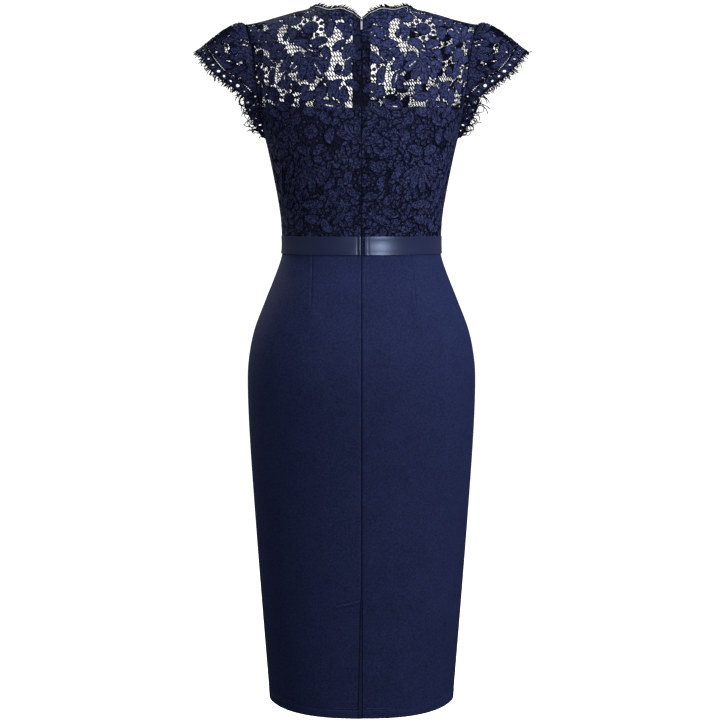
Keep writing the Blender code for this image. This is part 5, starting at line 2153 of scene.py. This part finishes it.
# ---------------- stage
FLOOR = -1.32               # metres
STAGE_SIZE = 9.0
WALL_HEIGHT = 6.0
CAMERA_DISTANCE = 2.05
CAMERA_HEIGHT = -0.293
CAMERA_AIM = -0.4627        # where its axis crosses the middle of the dress
CAMERA_SHIFT = -0.05
CAMERA_X = 0.0022
FRAME_WIDTH = 1.066         # what the frame takes in at the dress, metres
SENSOR = 36.0
WORLD_STRENGTH = 0.10
LAMP_TARGET = Vector((0.0, 0.0, -0.5))
FLOOR_BEND = 1.2            # how far the floor's curve up to the walls reaches
Lamp = namedtuple("Lamp", "name place size power shines")
LAMPS = [
    Lamp("key_high", (-1.2, 0.9, 1.5), 1.0, 31.0, False),
    Lamp("key_low", (-1.2, 0.9, 0.5), 0.8, 35.0, False),
    Lamp("fill", (1.2, 0.4, 0.0), 0.8, 5.5, False),
    Lamp("glint", (-0.54, 2.0, -0.06), 0.12, 17.0, True),
    Lamp("front_key", (1.3, -1.4, 0.9), 1.0, 46.0, True),
    Lamp("front_fill", (-1.6, -1.6, 0.1), 1.2, 18.0, False),
]


def area_light(name, place, size, power, shines):
    """A square soft light, turned to the dress and unseen itself; some leave no reflection."""
    bpy.ops.object.light_add(type="AREA", location=place)
    made = bpy.context.active_object
    made.name = name
    made.data.size = size
    made.data.energy = power
    made.visible_camera = False
    made.visible_glossy = shines
    made.rotation_euler = (LAMP_TARGET - Vector(place)).to_track_quat("-Z", "Y").to_euler()


def studio_room():
    """A floor that curves up into walls all round. It only shows: the lamps light the dress."""
    bpy.ops.object.select_all(action="DESELECT")
    bpy.ops.mesh.primitive_plane_add(size=STAGE_SIZE, location=(0, 0, FLOOR))
    room = bpy.context.active_object
    room.name = "studio_floor"
    bpy.ops.object.mode_set(mode="EDIT")
    bpy.ops.mesh.select_mode(type="EDGE")
    bpy.ops.mesh.select_all(action="SELECT")
    bpy.ops.mesh.extrude_edges_move(TRANSFORM_OT_translate={"value": (0, 0, WALL_HEIGHT)})
    bpy.ops.object.mode_set(mode="OBJECT")
    for edge in room.data.edges:
        ends = [room.data.vertices[v].co for v in edge.vertices]
        edge.select = all(abs(p.z) < 0.01 for p in ends)
    bpy.ops.object.mode_set(mode="EDIT")
    bpy.ops.mesh.bevel(offset=FLOOR_BEND, segments=10, affect="EDGES")
    bpy.ops.mesh.select_all(action="SELECT")
    bpy.ops.mesh.normals_make_consistent(inside=True)
    bpy.ops.object.mode_set(mode="OBJECT")
    bpy.ops.object.transform_apply(location=True, rotation=True, scale=True)
    bpy.ops.object.shade_smooth()
    room.visible_diffuse = False
    room.visible_glossy = False
    return room


class DRESS_OT_stage(bpy.types.Operator):
    """Sets the pale floor and backdrop, the studio lights and the camera"""
    bl_idname = "dress.stage"
    bl_label = "Stage"

    def execute(self, context):
        floor = studio_room()
        white, _, _ = finish_named("studio_white", 0.9, Base_Color=(0.9, 0.9, 0.9),
                                   Emission_Color=(1.0, 1.0, 1.0), Emission_Strength=1.0)
        floor.data.materials.append(white)
        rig.stage(floor)

        world = bpy.data.worlds.new("studio")
        context.scene.world = world
        world.use_nodes = True
        world.node_tree.nodes["Background"].inputs["Color"].default_value = (1.0, 1.0, 1.0, 1.0)
        world.node_tree.nodes["Background"].inputs["Strength"].default_value = WORLD_STRENGTH
        for lamp in LAMPS:
            area_light(*lamp)

        camera_data = bpy.data.cameras.new("camera")
        camera = bpy.data.objects.new("camera", camera_data)
        context.scene.collection.objects.link(camera)
        place = Vector((CAMERA_X, CAMERA_DISTANCE, CAMERA_HEIGHT))
        aim = Vector((CAMERA_X, 0.0, CAMERA_AIM)) - place
        camera.location = place
        camera.rotation_euler = aim.to_track_quat("-Z", "Y").to_euler()
        camera_data.sensor_width = SENSOR
        camera_data.lens = SENSOR * aim.length / FRAME_WIDTH
        camera_data.shift_y = CAMERA_SHIFT
        context.scene.camera = camera
        context.scene.view_settings.view_transform = "Standard"
        return {"FINISHED"}


# ---------------- panel and run
OPERATORS = (
    DRESS_OT_lining, DRESS_OT_lace, DRESS_OT_sleeves, DRESS_OT_fringes, DRESS_OT_skirt,
    DRESS_OT_ribbon, DRESS_OT_zip, DRESS_OT_stage,
)


class DRESS_PT_panel(bpy.types.Panel):
    """Builds the dress piece by piece"""
    bl_label = "Cocktail Dress"
    bl_idname = "DRESS_PT_panel"
    bl_space_type = "VIEW_3D"
    bl_region_type = "UI"
    bl_category = "Dress"

    def draw(self, context):
        for group in (context.scene.dress_colours, context.scene.dress_sizes):
            box = self.layout.box()
            for name in group.__annotations__:
                box.prop(group, name)
        for operator in OPERATORS:
            self.layout.operator(operator.bl_idname)


CLASSES = (DressColours, DressSizes) + OPERATORS + (DRESS_PT_panel,)


def register():
    for item in CLASSES:
        bpy.utils.register_class(item)
    bpy.types.Scene.dress_colours = bpy.props.PointerProperty(type=DressColours)
    bpy.types.Scene.dress_sizes = bpy.props.PointerProperty(type=DressSizes)


def unregister():
    del bpy.types.Scene.dress_sizes
    del bpy.types.Scene.dress_colours
    for item in reversed(CLASSES):
        bpy.utils.unregister_class(item)


def main():
    register()
    for operator in OPERATORS:
        group, name = operator.bl_idname.split(".")
        getattr(getattr(bpy.ops, group), name)()
    with open("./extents.json", "w") as out:
        json.dump({"cad": plain(CAD_BOX), "visual": plain(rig.bounds())}, out)


def plain(box):
    return [[float(value) for value in corner] for corner in box]


if __name__ == "__main__":
    main()
